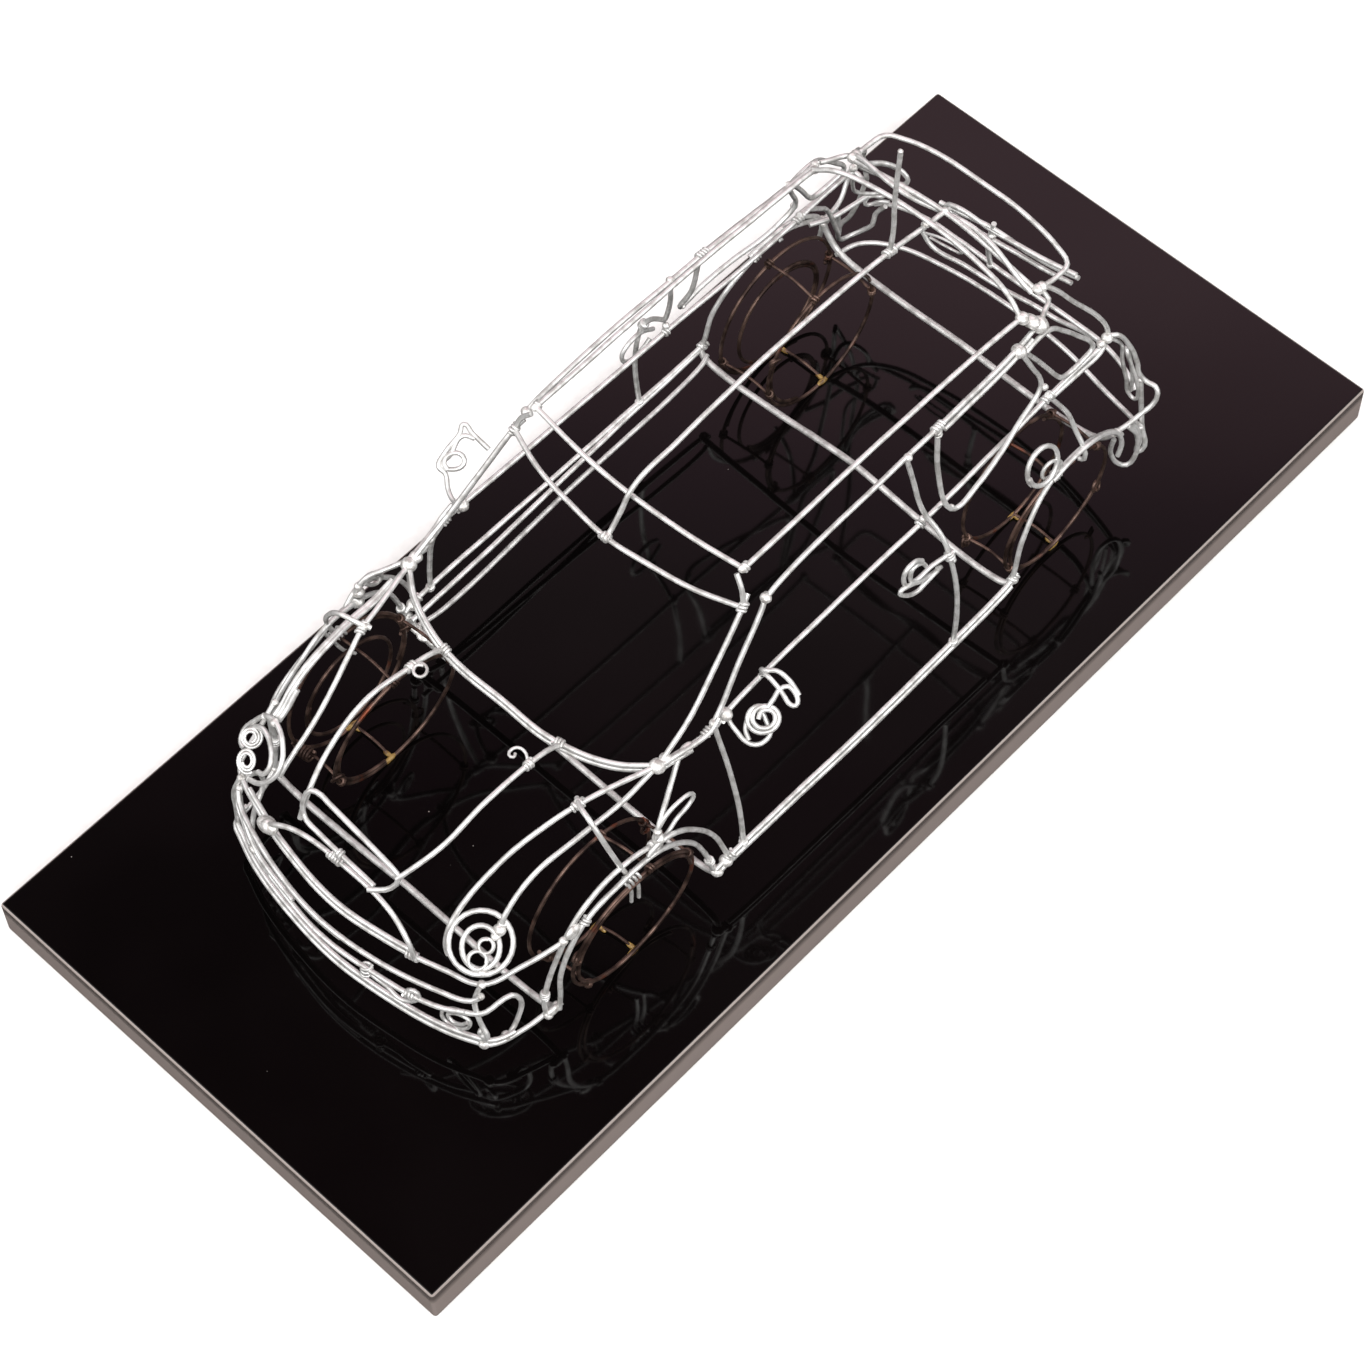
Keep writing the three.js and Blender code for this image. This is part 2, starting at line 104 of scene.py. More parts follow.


# tinned steel wire, drawn and hand bent: bright, with dull patches where the tin is thin, and painted shade on
# the side towards the board
def makeTinnedWire(name, look):
    material, tree, place = freshMaterial(name)
    patch = addNode(tree, "ShaderNodeTexNoise", {
        "Vector": place, "Scale": perMm(look["patchMm"]), "Detail": 3.0})
    grain = addNode(tree, "ShaderNodeTexNoise", {
        "Vector": place, "Scale": perMm(look["grainMm"]), "Detail": 2.0})
    tint = addNode(tree, "ShaderNodeValToRGB", {"Fac": patch.outputs["Fac"]},
                   between(look["patchEdge"], colour(look["worn"]), colour(look["bright"])))
    rough = addNode(tree, "ShaderNodeValToRGB", {"Fac": patch.outputs["Fac"]},
                    between(look["roughEdge"], grey(look["roughest"]), grey(look["smoothest"])))
    bump = addNode(tree, "ShaderNodeBump", {
        "Height": grain.outputs["Fac"], "Strength": look["bump"], "Distance": look["bumpMm"] * mm})
    # painted shade: faces turned down towards the board get a darker colour
    shape = addNode(tree, "ShaderNodeNewGeometry")
    facing = addNode(tree, "ShaderNodeSeparateXYZ", {"Vector": shape.outputs["Normal"]})
    unshadedFacing, dark = look["underFacing"]
    paintedShadeMask = addNode(tree, "ShaderNodeMapRange", {
        "Value": facing.outputs["Z"], "From Min": unshadedFacing, "From Max": dark})
    withPaintedShade = addNode(tree, "ShaderNodeMix", {
        0: paintedShadeMask.outputs["Result"], 6: tint.outputs["Color"], 7: colour(look["under"])}, data_type="RGBA")
    shader = addNode(tree, "ShaderNodeBsdfPrincipled", {
        "Base Color": withPaintedShade.outputs[2],
        "Roughness": rough.outputs["Color"],
        "Normal": bump.outputs["Normal"],
        "Metallic": look["metal"],
    })
    closeMaterial(tree, shader)
    return material


# soft solder is lumpy and a little greyer, and the older wire under the car is duller
solderLook = {**wireLook, "bright": "#efedea", "worn": "#b3afab", "patchMm": 1.2, "grainMm": 0.5, "bump": 0.3,
              "smoothest": 0.32, "roughest": 0.5}
floorWireLook = {**wireLook, "bright": "#cfcdcb", "worn": "#a5a2a0", "grainMm": 0.5, "bump": 0.15,
                 "smoothest": 0.4, "roughest": 0.55}
tinnedWire = makeTinnedWire("tinnedWire", wireLook)
solder = makeTinnedWire("solderTin", solderLook)
dullWire = makeTinnedWire("dullTinnedWire", floorWireLook)

wheelLook = {
    "brown": "#352621", "pale": "#755d53", "patchMm": 5.0, "patchEdge": (0.4, 0.66),
    "rust": "#6f3926", "rustMm": 8.0, "rustEdge": (0.6, 0.7),
    "smoothest": 0.3, "roughest": 0.5, "roughEdge": (0.35, 0.7), "metal": 0.75,
}


# annealed iron wire: dark brown scale, paler where rubbed, orange-brown in rusty spots
def makeBrownWire(look):
    material, tree, place = freshMaterial("annealedIronWire")
    patch = addNode(tree, "ShaderNodeTexNoise", {
        "Vector": place, "Scale": perMm(look["patchMm"]), "Detail": 4.0})
    spots = addNode(tree, "ShaderNodeTexNoise", {
        "Vector": place, "Scale": perMm(look["rustMm"]), "Detail": 5.0})
    base = addNode(tree, "ShaderNodeValToRGB", {"Fac": patch.outputs["Fac"]},
                   between(look["patchEdge"], colour(look["brown"]), colour(look["pale"])))
    rusty = addNode(tree, "ShaderNodeValToRGB", {"Fac": spots.outputs["Fac"]},
                    between(look["rustEdge"], grey(0.0), grey(1.0)))
    tint = addNode(tree, "ShaderNodeMix", {
        0: rusty.outputs["Color"], 6: base.outputs["Color"], 7: colour(look["rust"])}, data_type="RGBA")
    rough = addNode(tree, "ShaderNodeValToRGB", {"Fac": patch.outputs["Fac"]},
                    between(look["roughEdge"], grey(look["roughest"]), grey(look["smoothest"])))
    shader = addNode(tree, "ShaderNodeBsdfPrincipled", {
        "Base Color": tint.outputs[2],
        "Roughness": rough.outputs["Color"],
        "Metallic": look["metal"],
    })
    closeMaterial(tree, shader)
    return material


brownWire = makeBrownWire(wheelLook)

glueLook = {"amber": "#96783f", "dark": "#5c4120", "patchMm": 1.5, "patchEdge": (0.38, 0.6),
            "gloss": 0.25, "ior": 1.5}


# hide glue dried amber: glossy, with darker patches
def makeDriedGlue(look):
    material, tree, place = freshMaterial("driedAmberGlue")
    patch = addNode(tree, "ShaderNodeTexNoise", {
        "Vector": place, "Scale": perMm(look["patchMm"]), "Detail": 3.0})
    tint = addNode(tree, "ShaderNodeValToRGB", {"Fac": patch.outputs["Fac"]},
                   between(look["patchEdge"], colour(look["dark"]), colour(look["amber"])))
    shader = addNode(tree, "ShaderNodeBsdfPrincipled", {
        "Base Color": tint.outputs["Color"], "Roughness": look["gloss"], "IOR": look["ior"]})
    closeMaterial(tree, shader)
    return material


driedGlue = makeDriedGlue(glueLook)

lacquerLook = {
    "black": "#040303", "haze": "#080606", "hazeMm": 60.0, "hazeEdge": (0.35, 0.7),
    "dust": "#8c8681", "dustMm": 7.0, "speckEdge": (0.015, 0.03), "speckShare": (0.78, 0.8),
    # painted reflection on the sides: paler low down, darker in a band under the top; painted highlight on the
    # eased edge
    "side": "#7b716d", "shade": "#4c4542", "sideMm": 13.0, "paintedReflectionEdge": (0.64, 0.84),
    "edge": "#8f8580", "paintedHighlightFacing": 0.35, "topFacing": 0.9,  # how far up a face looks where the painted highlight on the eased edge and the top begin
    "gloss": 0.05, "ior": 1.34,
}


# black piano lacquer on fibreboard: mirror gloss, faint haze, specks of dust; painted reflection on the sides,
# grey-brown and darker near the top, and a painted highlight on the eased edge
def makeLacquer(look):
    material, tree, place = freshMaterial("blackPianoLacquer")
    haze = addNode(tree, "ShaderNodeTexNoise", {
        "Vector": place, "Scale": perMm(look["hazeMm"]), "Detail": 2.0})
    base = addNode(tree, "ShaderNodeValToRGB", {"Fac": haze.outputs["Fac"]},
                   between(look["hazeEdge"], colour(look["black"]), colour(look["haze"])))
    cells = addNode(tree, "ShaderNodeTexVoronoi", {"Vector": place, "Scale": perMm(look["dustMm"])})
    speck = addNode(tree, "ShaderNodeValToRGB", {"Fac": cells.outputs["Distance"]},
                    between(look["speckEdge"], grey(1.0), grey(0.0)))
    chosen = addNode(tree, "ShaderNodeValToRGB", {"Fac": cells.outputs["Color"]},
                     between(look["speckShare"], grey(0.0), grey(1.0)))
    amount = addNode(tree, "ShaderNodeMath", {0: speck.outputs["Color"], 1: chosen.outputs["Color"]},
                     operation="MULTIPLY")
    dusty = addNode(tree, "ShaderNodeMix", {
        0: amount.outputs[0], 6: base.outputs["Color"], 7: colour(look["dust"])}, data_type="RGBA")
    # painted reflection and highlight: the sides take a grey-brown colour, darker near the top, and the eased
    # edge a pale one
    shape = addNode(tree, "ShaderNodeNewGeometry")
    facing = addNode(tree, "ShaderNodeSeparateXYZ", {"Vector": shape.outputs["Normal"]})
    level = addNode(tree, "ShaderNodeSeparateXYZ", {"Vector": place})
    height = addNode(tree, "ShaderNodeMath", {0: level.outputs["Z"], 1: perMm(look["sideMm"])},
                     operation="MULTIPLY")
    paintedSideReflection = addNode(tree, "ShaderNodeValToRGB", {"Fac": height.outputs[0]},
                    between(look["paintedReflectionEdge"], colour(look["side"]), colour(look["shade"])))
    paintedHighlightMask = addNode(tree, "ShaderNodeMath", {0: facing.outputs["Z"], 1: look["paintedHighlightFacing"]},
                    operation="GREATER_THAN")
    rim = addNode(tree, "ShaderNodeMix", {
        0: paintedHighlightMask.outputs[0], 6: paintedSideReflection.outputs["Color"], 7: colour(look["edge"])}, data_type="RGBA")
    top = addNode(tree, "ShaderNodeMath", {0: facing.outputs["Z"], 1: look["topFacing"]},
                  operation="GREATER_THAN")
    tint = addNode(tree, "ShaderNodeMix", {
        0: top.outputs[0], 6: rim.outputs[2], 7: dusty.outputs[2]}, data_type="RGBA")
    shader = addNode(tree, "ShaderNodeBsdfPrincipled", {
        "Base Color": tint.outputs[2], "Roughness": look["gloss"], "IOR": look["ior"]})
    closeMaterial(tree, shader)
    return material


lacquer = makeLacquer(lacquerLook)
print("stage: materials ready")


# routes and lumps: all in mm, heights above the board, set for the left side and turned over for the right
def sided(sign, points):
    return [(sign * point[0], *point[1:]) for point in points]


def across(half):
    return sided(-1, reversed(half[1:])) + list(half)


# how closely a run is set out, and how far each bend reaches along it
bend = {"stepMm": 1.5, "hold": 0.36, "holdMost": 9.0}


# a smooth run through given points, as closely spaced places
def bent(points, step=bend["stepMm"]):
    places = [Vector(p) for p in points]
    last = len(places) - 1
    headings = []
    for i, place in enumerate(places):
        before = (place - places[i - 1]).normalized() if i > 0 else Vector()
        after = (places[i + 1] - place).normalized() if i < last else Vector()
        headings.append((before + after).normalized())
    run = [places[0]]
    for i in range(last):
        a, b = places[i], places[i + 1]
        reach = (b - a).length
        hold = min(reach * bend["hold"], bend["holdMost"])
        handleA, handleB = a + headings[i] * hold, b - headings[i + 1] * hold
        count = max(2, round(reach / step))
        for k in range(1, count + 1):
            t = k / count
            u = 1 - t
            run.append(u ** 3 * a + 3 * u * u * t * handleA + 3 * u * t * t * handleB + t ** 3 * b)
    return run


def headingAt(run, k):
    return (run[min(k + 1, len(run) - 1)] - run[max(k - 1, 0)]).normalized()


# a second strand lying against the first over a share of its length
def beside(points, offset, start=0.0, end=1.0, twist=0.0):
    run = bent(points)
    first, final = int(start * (len(run) - 1)), int(end * (len(run) - 1))
    pair = []
    for k in range(first, final + 1):
        turned = Matrix.Rotation(twist * (k - first), 3, headingAt(run, k)) @ Vector(offset)
        pair.append(run[k] + turned)
    return pair


# wire radii
bodyGauge = 0.68
floorGauge = 0.9  # the cross wires under the car are a little stouter
plateGauge = 0.7
antennaGauge = 0.65
loopGauge = 0.62  # door handles and mirrors
hookGauge = 0.6
lampGauge = 0.55
thinGauge = 0.5  # tie ends and small curls
wrapGauge = 0.4

winding = {"steps": 10, "uneven": 0.05, "unevenRate": 1.7, "clear": 0.24, "pitch": 0.85}


def helix(centre, heading, turns, reach, pitch, begin=0.0):
    heading = Vector(heading).normalized()
    level = heading.orthogonal().normalized()
    upright = heading.cross(level)
    count = int(turns * winding["steps"])
    run = []
    for k in range(count + 1):
        angle = begin + k * 2 * math.pi / winding["steps"]
        along = (k / count - 0.5) * turns * pitch
        swell = reach * (1 + winding["uneven"] * math.sin(angle * winding["unevenRate"]))
        around = (level * math.cos(angle) + upright * math.sin(angle)) * swell
        run.append(Vector(centre) + heading * along + around)
    return run


# a wire end wound round another wire, with its radius
def wrapOn(points, spot, turns=3, gauge=wrapGauge):
    run = bent(points)
    near = min(range(len(run)), key=lambda k: (run[k] - Vector(spot)).length)
    begin = handDraw.uniform(0, 6)
    reach = bodyGauge + winding["clear"]
    return helix(run[near], headingAt(run, near), turns, reach, winding["pitch"], begin), gauge


# a flat curl or ring of wire facing along normal, begun from its top
def curl(centre, normal, outer, inner, turns, begin=0.0, squash=1.0, rise=0.5):
    normal = Vector(normal).normalized()
    high = (Vector((0, 0, 1)) - normal * normal.z).normalized()
    wide = high.cross(normal)
    count = max(14, int(turns * 26))
    run = []
    for k in range(count + 1):
        share = k / count
        angle = begin + share * turns * 2 * math.pi
        reach = outer + (inner - outer) * share
        flat = wide * math.sin(angle) * reach * squash + high * math.cos(angle) * reach
        run.append(Vector(centre) + flat + normal * rise * (share - 0.5) * max(turns, 1))
    return run


wobble = {"reach": 0.13, "lengthMm": 14.0, "swell": 0.05, "swellMm": 3}  # hand bending leaves the wire uneven


# lengths of round wire as one mesh piece, with lumps of solder or glue on it
def wirePiece(name, runs, node=None, lumps=(), gauge=bodyGauge, finish=tinnedWire, lumpFinish=solder):
    curve = bpy.data.curves.new(name, "CURVE")
    curve.dimensions = "3D"
    curve.bevel_depth = gauge * mm
    curve.bevel_resolution = 3
    curve.use_fill_caps = True
    seed = Vector((handDraw.uniform(0, 50), handDraw.uniform(0, 50), handDraw.uniform(0, 50)))
    for entry in runs:
        run, thick = entry if isinstance(entry, tuple) else (entry, gauge)
        spline = curve.splines.new("POLY")
        spline.points.add(len(run) - 1)
        for spot, place in zip(spline.points, run):
            stray = noise.noise_vector(place / wobble["lengthMm"] + seed) * wobble["reach"]
            spot.co = (*((place + stray + Vector((0, 0, boardTop))) * mm), 1)
            spot.radius = thick / gauge * (1 + wobble["swell"] * noise.noise(place / wobble["swellMm"] + seed))
        spline.use_smooth = True
    piece = bpy.data.objects.new(name, curve)
    bpy.context.scene.collection.objects.link(piece)
    bpy.ops.object.select_all(action="DESELECT")
    piece.select_set(True)
    bpy.context.view_layer.objects.active = piece
    bpy.ops.object.convert(target="MESH")
    piece = bpy.context.view_layer.objects.active
    piece.data.materials.append(finish)
    if lumps:
        addLumps(piece, lumps, lumpFinish)
    piece.name = name
    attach(piece, "root")
    if node:
        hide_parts(*([node] if isinstance(node, str) else node))


lumpLook = {"wide": 0.82, "deep": 0.78, "high": 0.66, "uneven": 0.16, "smooth": 0.6}


# each lump is (x, y, z, size) or (x, y, z, wide, deep, high)
def addLumps(piece, lumps, finish):
    made = []
    for x, y, z, *size in lumps:
        if len(size) == 1:
            size = [size[0] * lumpLook[key] for key in ("wide", "deep", "high")]
        bpy.ops.object.select_all(action="DESELECT")
        bpy.ops.mesh.primitive_ico_sphere_add(subdivisions=3, radius=mm, scale=size,
                                              location=Vector((x, y, z + boardTop)) * mm)
        ball = bpy.context.view_layer.objects.active
        bpy.ops.object.transform_apply(location=True, rotation=True, scale=True)
        bpy.ops.object.mode_set(mode="EDIT")
        bpy.ops.mesh.select_all(action="SELECT")
        bpy.ops.transform.vertex_random(offset=lumpLook["uneven"] * max(size) * mm,
                                        seed=handDraw.randrange(1000))
        bpy.ops.mesh.vertices_smooth(factor=lumpLook["smooth"], repeat=2)
        bpy.ops.object.mode_set(mode="OBJECT")
        bpy.ops.object.shade_smooth()
        ball.data.materials.append(finish)
        made.append(ball)
    bpy.ops.object.select_all(action="DESELECT")
    for ball in made:
        ball.select_set(True)
    piece.select_set(True)
    bpy.context.view_layer.objects.active = piece
    bpy.ops.object.join()


# board
boardSize = {"long": 350.0, "wide": 151.0, "high": 13.0, "ease": 0.9, "easeSteps": 3}


def makeBoard(size):
    bpy.ops.object.select_all(action="DESELECT")
    bpy.ops.mesh.primitive_cube_add(size=1, location=(0, 0, size["high"] / 2 * mm),
                                    scale=(size["wide"] * mm, size["long"] * mm, size["high"] * mm))
    board = bpy.context.view_layer.objects.active
    board.name = "lacquered_board"
    bpy.ops.object.transform_apply(location=True, rotation=True, scale=True)
    ease = board.modifiers.new("ease", "BEVEL")
    ease.width = size["ease"] * mm
    ease.segments = size["easeSteps"]
    ease.limit_method = "ANGLE"
    bpy.ops.object.modifier_apply(modifier="ease")
    bpy.ops.object.shade_smooth()
    board.modifiers.new("flatTop", "WEIGHTED_NORMAL")
    bpy.ops.object.modifier_apply(modifier="flatTop")
    board.data.materials.append(lacquer)
    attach(board, "root")
    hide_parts("base_plate")


makeBoard(boardSize)
print("stage: board done")

# wheels: two rings of thin brown wire each, bound by ties, glued to the board
wheelSpec = {
    "gauge": 0.52, "tieGauge": 0.42, "axle": 20.4, "lowest": 0.5,  # heights of a ring's middle and its foot
    "steps": 54, "stepAngle": 0.12, "uneven": 0.35,  # a little over one turn
    "secondStrand": {"begin": 1.0, "fewest": 6, "most": 52, "inward": 0.95, "uneven": 0.3, "outward": 0.3},
    "tie": {"sag": (0, 0.5, 0.4), "turns": 2.5, "clear": 0.3, "pitch": 0.8},
    "hook": {"drop": (0, 0, -1.2), "lean": (0.2, 0.3), "outer": 1.7, "inner": 1.1, "turns": 1.4, "rise": 0.6},
    "knot": {"heading": (1, 0.1, 0), "turns": 4, "reach": 1.5, "pitch": 0.9},
    "foot": {"lift": 0.1, "arch": (0, 0.3, 0.5), "glueHigh": 0.6, "glueBack": 0.6, "glueIn": 1.4,
             "pad": (0.75, 2.4, 0.75), "smear": (1.7, 0.7, 0.65)},
}
# each ring: foot x, middle y, radius, lean of its top outwards, share of a turn that is doubled
wheelPlaces = {
    "front_left": {
        "inner": (36.6, -80.6, 20.4, -0.02, 0.2), "outer": (48.0, -79.2, 20.3, 0.06, 0.9),
        "ties": (0.25, 1.2, 4.0), "hooks": (1.3, 5.1), "glue": 1.2},
    "front_right": {
        "inner": (-34.0, -79.4, 20.2, -0.11, 0.45), "outer": (-48.0, -79.4, 20.2, 0.02, 0.5),
        "rim": (-47.0, -80.2, 14.6, 0.0, 0.1),
        "ties": (0.0, 1.25, 4.3), "hooks": (4.6, 1.5), "glue": -1.0, "knot": (-44.4, -98.4, 13.2)},
    "rear_left": {
        "inner": (33.0, 78.6, 19.5, 0.0, 0.15), "outer": (46.6, 78.8, 19.2, 0.03, 0.6),
        "ties": (6.1, 0.8, 4.2), "hooks": (4.2, 2.0), "glue": 2.2},
    "rear_right": {
        "inner": (-32.2, 77.4, 20.2, 0.0, 0.3), "outer": (-48.0, 77.4, 21.0, 0.0, 0.3),
        "rim": (-46.4, 76.6, 15.6, 0.0, 0.6),
        "ties": (6.15, 1.5, 4.5), "hooks": (5.2, 1.5), "glue": 2.0},
}


def makeWheel(corner, place, spec):
    gauge, tieGauge = spec["gauge"], spec["tieGauge"]
    second, tie, hook, knot, foot = (spec[key] for key in ("secondStrand", "tie", "hook", "knot", "foot"))
    outward = 1 if place["outer"][0] > 0 else -1
    pair = ("inner", "outer")

    def onRing(ring, angle, shrink=0.0):
        x, y, radius, lean, _ = ring
        height = max(radius, spec["axle"]) + (radius - shrink) * math.cos(angle)
        return Vector((x + outward * lean * height, y + (radius - shrink) * math.sin(angle),
                       max(height, spec["lowest"])))

    runs = []
    for which in (*pair, "rim"):
        if which not in place:
            continue
        ring = place[which]
        begin = handDraw.uniform(0, 6)
        angles = [begin + k * spec["stepAngle"] for k in range(spec["steps"])]
        runs.append([onRing(ring, angle, spec["uneven"] * math.sin(angle * 2 + begin)) for angle in angles])
        doubled = max(second["fewest"], int(second["most"] * ring[4]))
        angles = [begin + second["begin"] + k * spec["stepAngle"] for k in range(doubled)]
        aside = Vector((outward * second["outward"], 0, 0))
        runs.append([onRing(ring, angle, second["inward"] + second["uneven"] * math.sin(angle * 3)) + aside
                     for angle in angles])
    for angle in place["ties"]:
        ends = [onRing(place[which], angle) for which in pair]
        middle = (ends[0] + ends[1]) / 2 + Vector(tie["sag"])
        runs.append((bent([ends[0], middle, ends[1]]), tieGauge))
        along = (0, math.cos(angle), -math.sin(angle))
        for end in ends:
            runs.append((helix(end, along, tie["turns"], gauge + tie["clear"], tie["pitch"]), tieGauge))
    for which, angle in zip(pair, place["hooks"]):
        middle = onRing(place[which], angle) + Vector(hook["drop"])
        turned = curl(middle, (outward, *hook["lean"]), hook["outer"], hook["inner"], hook["turns"],
                      begin=angle, rise=hook["rise"])
        runs.append((turned, tieGauge))
    if "knot" in place:
        runs.append((helix(place["knot"], **knot), tieGauge))
    feet = [onRing(place[which], math.pi) + Vector((0, place["glue"], foot["lift"])) for which in pair]
    runs.append((bent([feet[0], (feet[0] + feet[1]) / 2 + Vector(foot["arch"]), feet[1]]), tieGauge))
    inside = (feet[1] - feet[0]).normalized().x * foot["glueIn"]
    glue = []
    for spot, towards in ((feet[0], inside), (feet[1], -inside)):
        glue.append((spot.x, spot.y - foot["glueBack"], foot["glueHigh"], *foot["pad"]))
        glue.append((spot.x + towards, spot.y, foot["glueHigh"], *foot["smear"]))
    wirePiece("wire_wheel_" + corner, runs, "wheel_" + corner, lumps=glue, gauge=gauge, finish=brownWire,
              lumpFinish=driedGlue)


for corner, place in wheelPlaces.items():
    makeWheel(corner, place, wheelSpec)
print("stage: wheels done")

# floor wires under the car
floorSpec = {
    "floor_cross_front": [
        (-48.2, -106.3, 12.8), (-46.6, -106.6, 11.2), (0, -106.6, 10.5), (47, -106.6, 11.4),
        (49.4, -106.4, 13.4),
    ],
    "floor_cross_cowl": across([(0, -53.8, 10.1), (51, -53.8, 11.7), (53.4, -53.6, 15.5)]),
    "floor_cross_rear": across([(0, 53, 22.3), (51.4, 53.4, 18.9), (53.2, 54, 19.8)]),
    "floor_cross_tail": across([(0, 97.5, 27), (43, 97, 29), (47.5, 97, 33), (49.4, 97.2, 36)]),
}
floorKnot = 1.3
floorPatch = {  # solder run flat
    "floor_cross_cowl": [
        (-51, -53.8, 11.6, 2.6, 1.5, 1.1), (-48.2, -54, 11.4, 2.2, 1.7, 1.0),
        (-45.6, -53.9, 11.2, 1.8, 1.1, 1.1),
    ],
}
for name, points in floorSpec.items():
    endKnots = [(*end, floorKnot) for end in (points[0], points[-1])]
    wirePiece(name + "_wire", [bent(points)], name, gauge=floorGauge, finish=dullWire,
              lumps=endKnots + floorPatch.get(name, []))
floorRail = [(-51.5, -53, 11.4), (-50, -46, 11.9), (-50, 0, 15.8), (-50, 51.2, 19.7), (-51, 54, 20)]
wirePiece("floor_rail_wire", [bent(floorRail)], "floor_rail_right", finish=dullWire)
print("stage: floor wires done")

# sides of the body, left and right alike
sideSpec = {
    "sill": [(53.5, -55, 16.9), (53.7, -52, 18), (54.1, 0, 18.7), (53.5, 52, 20.5), (53.2, 56.5, 21.4)],
    "archInner_left": [
        (49, -109, 13), (49, -109.4, 20), (49, -107.8, 27), (49, -104.6, 34), (49, -97.5, 44.6),
        (49, -90.7, 48.4), (49, -83.9, 49.6), (49.4, -72.8, 47.2), (50, -69.5, 45.2),
    ],
    "archInner_right": [
        (47.4, -106.4, 12.4), (47.6, -105, 18), (47.8, -104, 26), (48, -103.9, 32.5), (48, -101.2, 38.2),
        (48, -95.5, 43.2), (48, -91.7, 45.9), (48.2, -87.5, 48.4), (48.6, -82.8, 49.4), (49.4, -72.8, 47.2),
        (50, -69.5, 45.2),
    ],
    "archOuter_left": [
        (50.4, -106, 13.4), (50.5, -105.4, 20), (50.5, -104.6, 30), (50.5, -99.3, 40.3), (50.5, -94, 44.4),
        (50.5, -84, 46), (50.6, -77.3, 46.2), (50.9, -69.6, 44.2), (51.6, -61.5, 37), (52.4, -57.4, 27),
        (53.2, -55.4, 17.6),
    ],
    "archOuter_right": [
        (48.6, -106, 13.4), (48.7, -104.6, 19), (48.8, -104, 26), (49, -103.6, 32), (49, -100.9, 37.8),
        (49, -95.3, 42), (49, -90.3, 44.6), (49.4, -84.6, 46), (50.6, -77.3, 46.2), (50.9, -69.6, 44.2),
        (51.6, -61.5, 37), (52.4, -57.4, 27), (53.2, -55.4, 17.6),
    ],
    "archThird": [
        (50.6, -74.5, 46.6), (51, -70.9, 49), (51.5, -66.2, 47.8), (52, -60, 41.8), (52.5, -54.8, 33),
        (53.2, -51.6, 22.5), (53.8, -50.6, 17.4),
    ],
    "wingCross": [
        (34, -80.4, 62), (36.4, -82, 63.4), (40.6, -83.4, 64.4), (46, -83.4, 58), (49.2, -81.8, 48.6),
        (49.3, -80, 42.4),
    ],
    "archRear": [
        (53.2, 54, 18.6), (53.1, 55.6, 24), (52.4, 58.6, 34), (50.6, 69.5, 44), (50, 82.4, 46),
        (49.6, 92, 41.5), (49.8, 97.8, 36.6), (50.2, 99.4, 34),
    ],
    "archRearSecond": [
        (51.2, 70.5, 45.6), (50.9, 78, 46.9), (50.8, 87, 45.6), (50.6, 94.5, 40.6), (50.8, 97.2, 37),
        (51.2, 98.6, 31), (51.2, 97.6, 27.5),
    ],
    "bodySide": [
        (40.9, 78, 64.8), (41.6, 79, 62.6), (45.1, 82.1, 56), (47.8, 82.7, 50.2), (50.4, 82.6, 46.6),
        (51.6, 82, 43.4), (50.2, 81.6, 42.6),
    ],
    "doorFront": [
        (43.4, -44.4, 62.3), (45, -44.8, 58.6), (48, -45.2, 51.5), (50.9, -45.4, 42), (52.8, -45.4, 30),
        (53.8, -45.4, 18.6),
    ],
    "doorRear": [
        (38.1, 27.8, 88.4), (39.6, 29.4, 78), (41.6, 30, 69.5), (43.2, 30.6, 65.6), (45.6, 31.2, 63),
        (48.4, 31.3, 60.2), (51, 31, 55.8), (53.4, 31, 47), (54.6, 31, 34), (53.9, 31.4, 19.4),
    ],
    "handle_right": [
        (51.6, 35.1, 49.6), (51.4, 29.7, 52.9), (51.2, 24.2, 52), (51.2, 23.1, 49.8), (51.4, 25.8, 45.3),
        (51.8, 31.3, 44.9), (51.8, 33.9, 46.5),
    ],
    "handle_left": [
        (51, 32.4, 56.4), (50.2, 25.6, 57.2), (49.8, 18.8, 57.2), (49.6, 17.8, 60.3), (49.6, 18.7, 63),
        (49.6, 21.6, 61.8), (49.6, 23.4, 58.8),
    ],
    "handleOuter_left": [
        (49.9, 16.4, 57.6), (49.6, 15.5, 60.3), (49.6, 16.1, 64.8), (49.6, 19.1, 65.2), (49.6, 22, 62.5),
    ],
    "handleLobes_left": [
        (51, 26.4, 55.4), (50.8, 28, 54.2), (50.4, 21.9, 55), (50.2, 16.5, 58.2), (50, 14, 58.4),
        (50.2, 15.1, 55.6), (50.6, 20, 52.4), (50.8, 22.3, 53.4), (51, 26.6, 54.4),
    ],
    "tieTail1_left": [(48.6, -77.8, 41.6), (48.8, -76.4, 33), (48.3, -76, 25.6)],
    "tieTail2_left": [(48.4, -79.6, 40.2), (48.6, -78.6, 32), (48, -78.2, 26)],
    "tieTail_right": [(50, -82.9, 45.6), (49, -81.2, 40.8), (48, -79.1, 34.8), (47, -76.6, 31.6)],
    "sillSecondRight": [
        (50, -55.5, 18.4), (50.6, -30.7, 18.8), (52, -0.2, 18.8), (53.2, 30.9, 18.9), (53.2, 55, 20.2),
    ],
}
wrapSpots = {
    "sill": [(53.7, -50, 18), (53.3, 54.5, 21)],
    "archInner": [(49.4, -72, 47), (49, -108.6, 23)],
    "archOuter": [(52.8, -56.4, 22)],
    "archOuter_left": [(50.5, -95, 44)],
    "archRear": [(50.4, 72, 44.6)],
    "doorRear": [(50.9, 31, 56)],
}
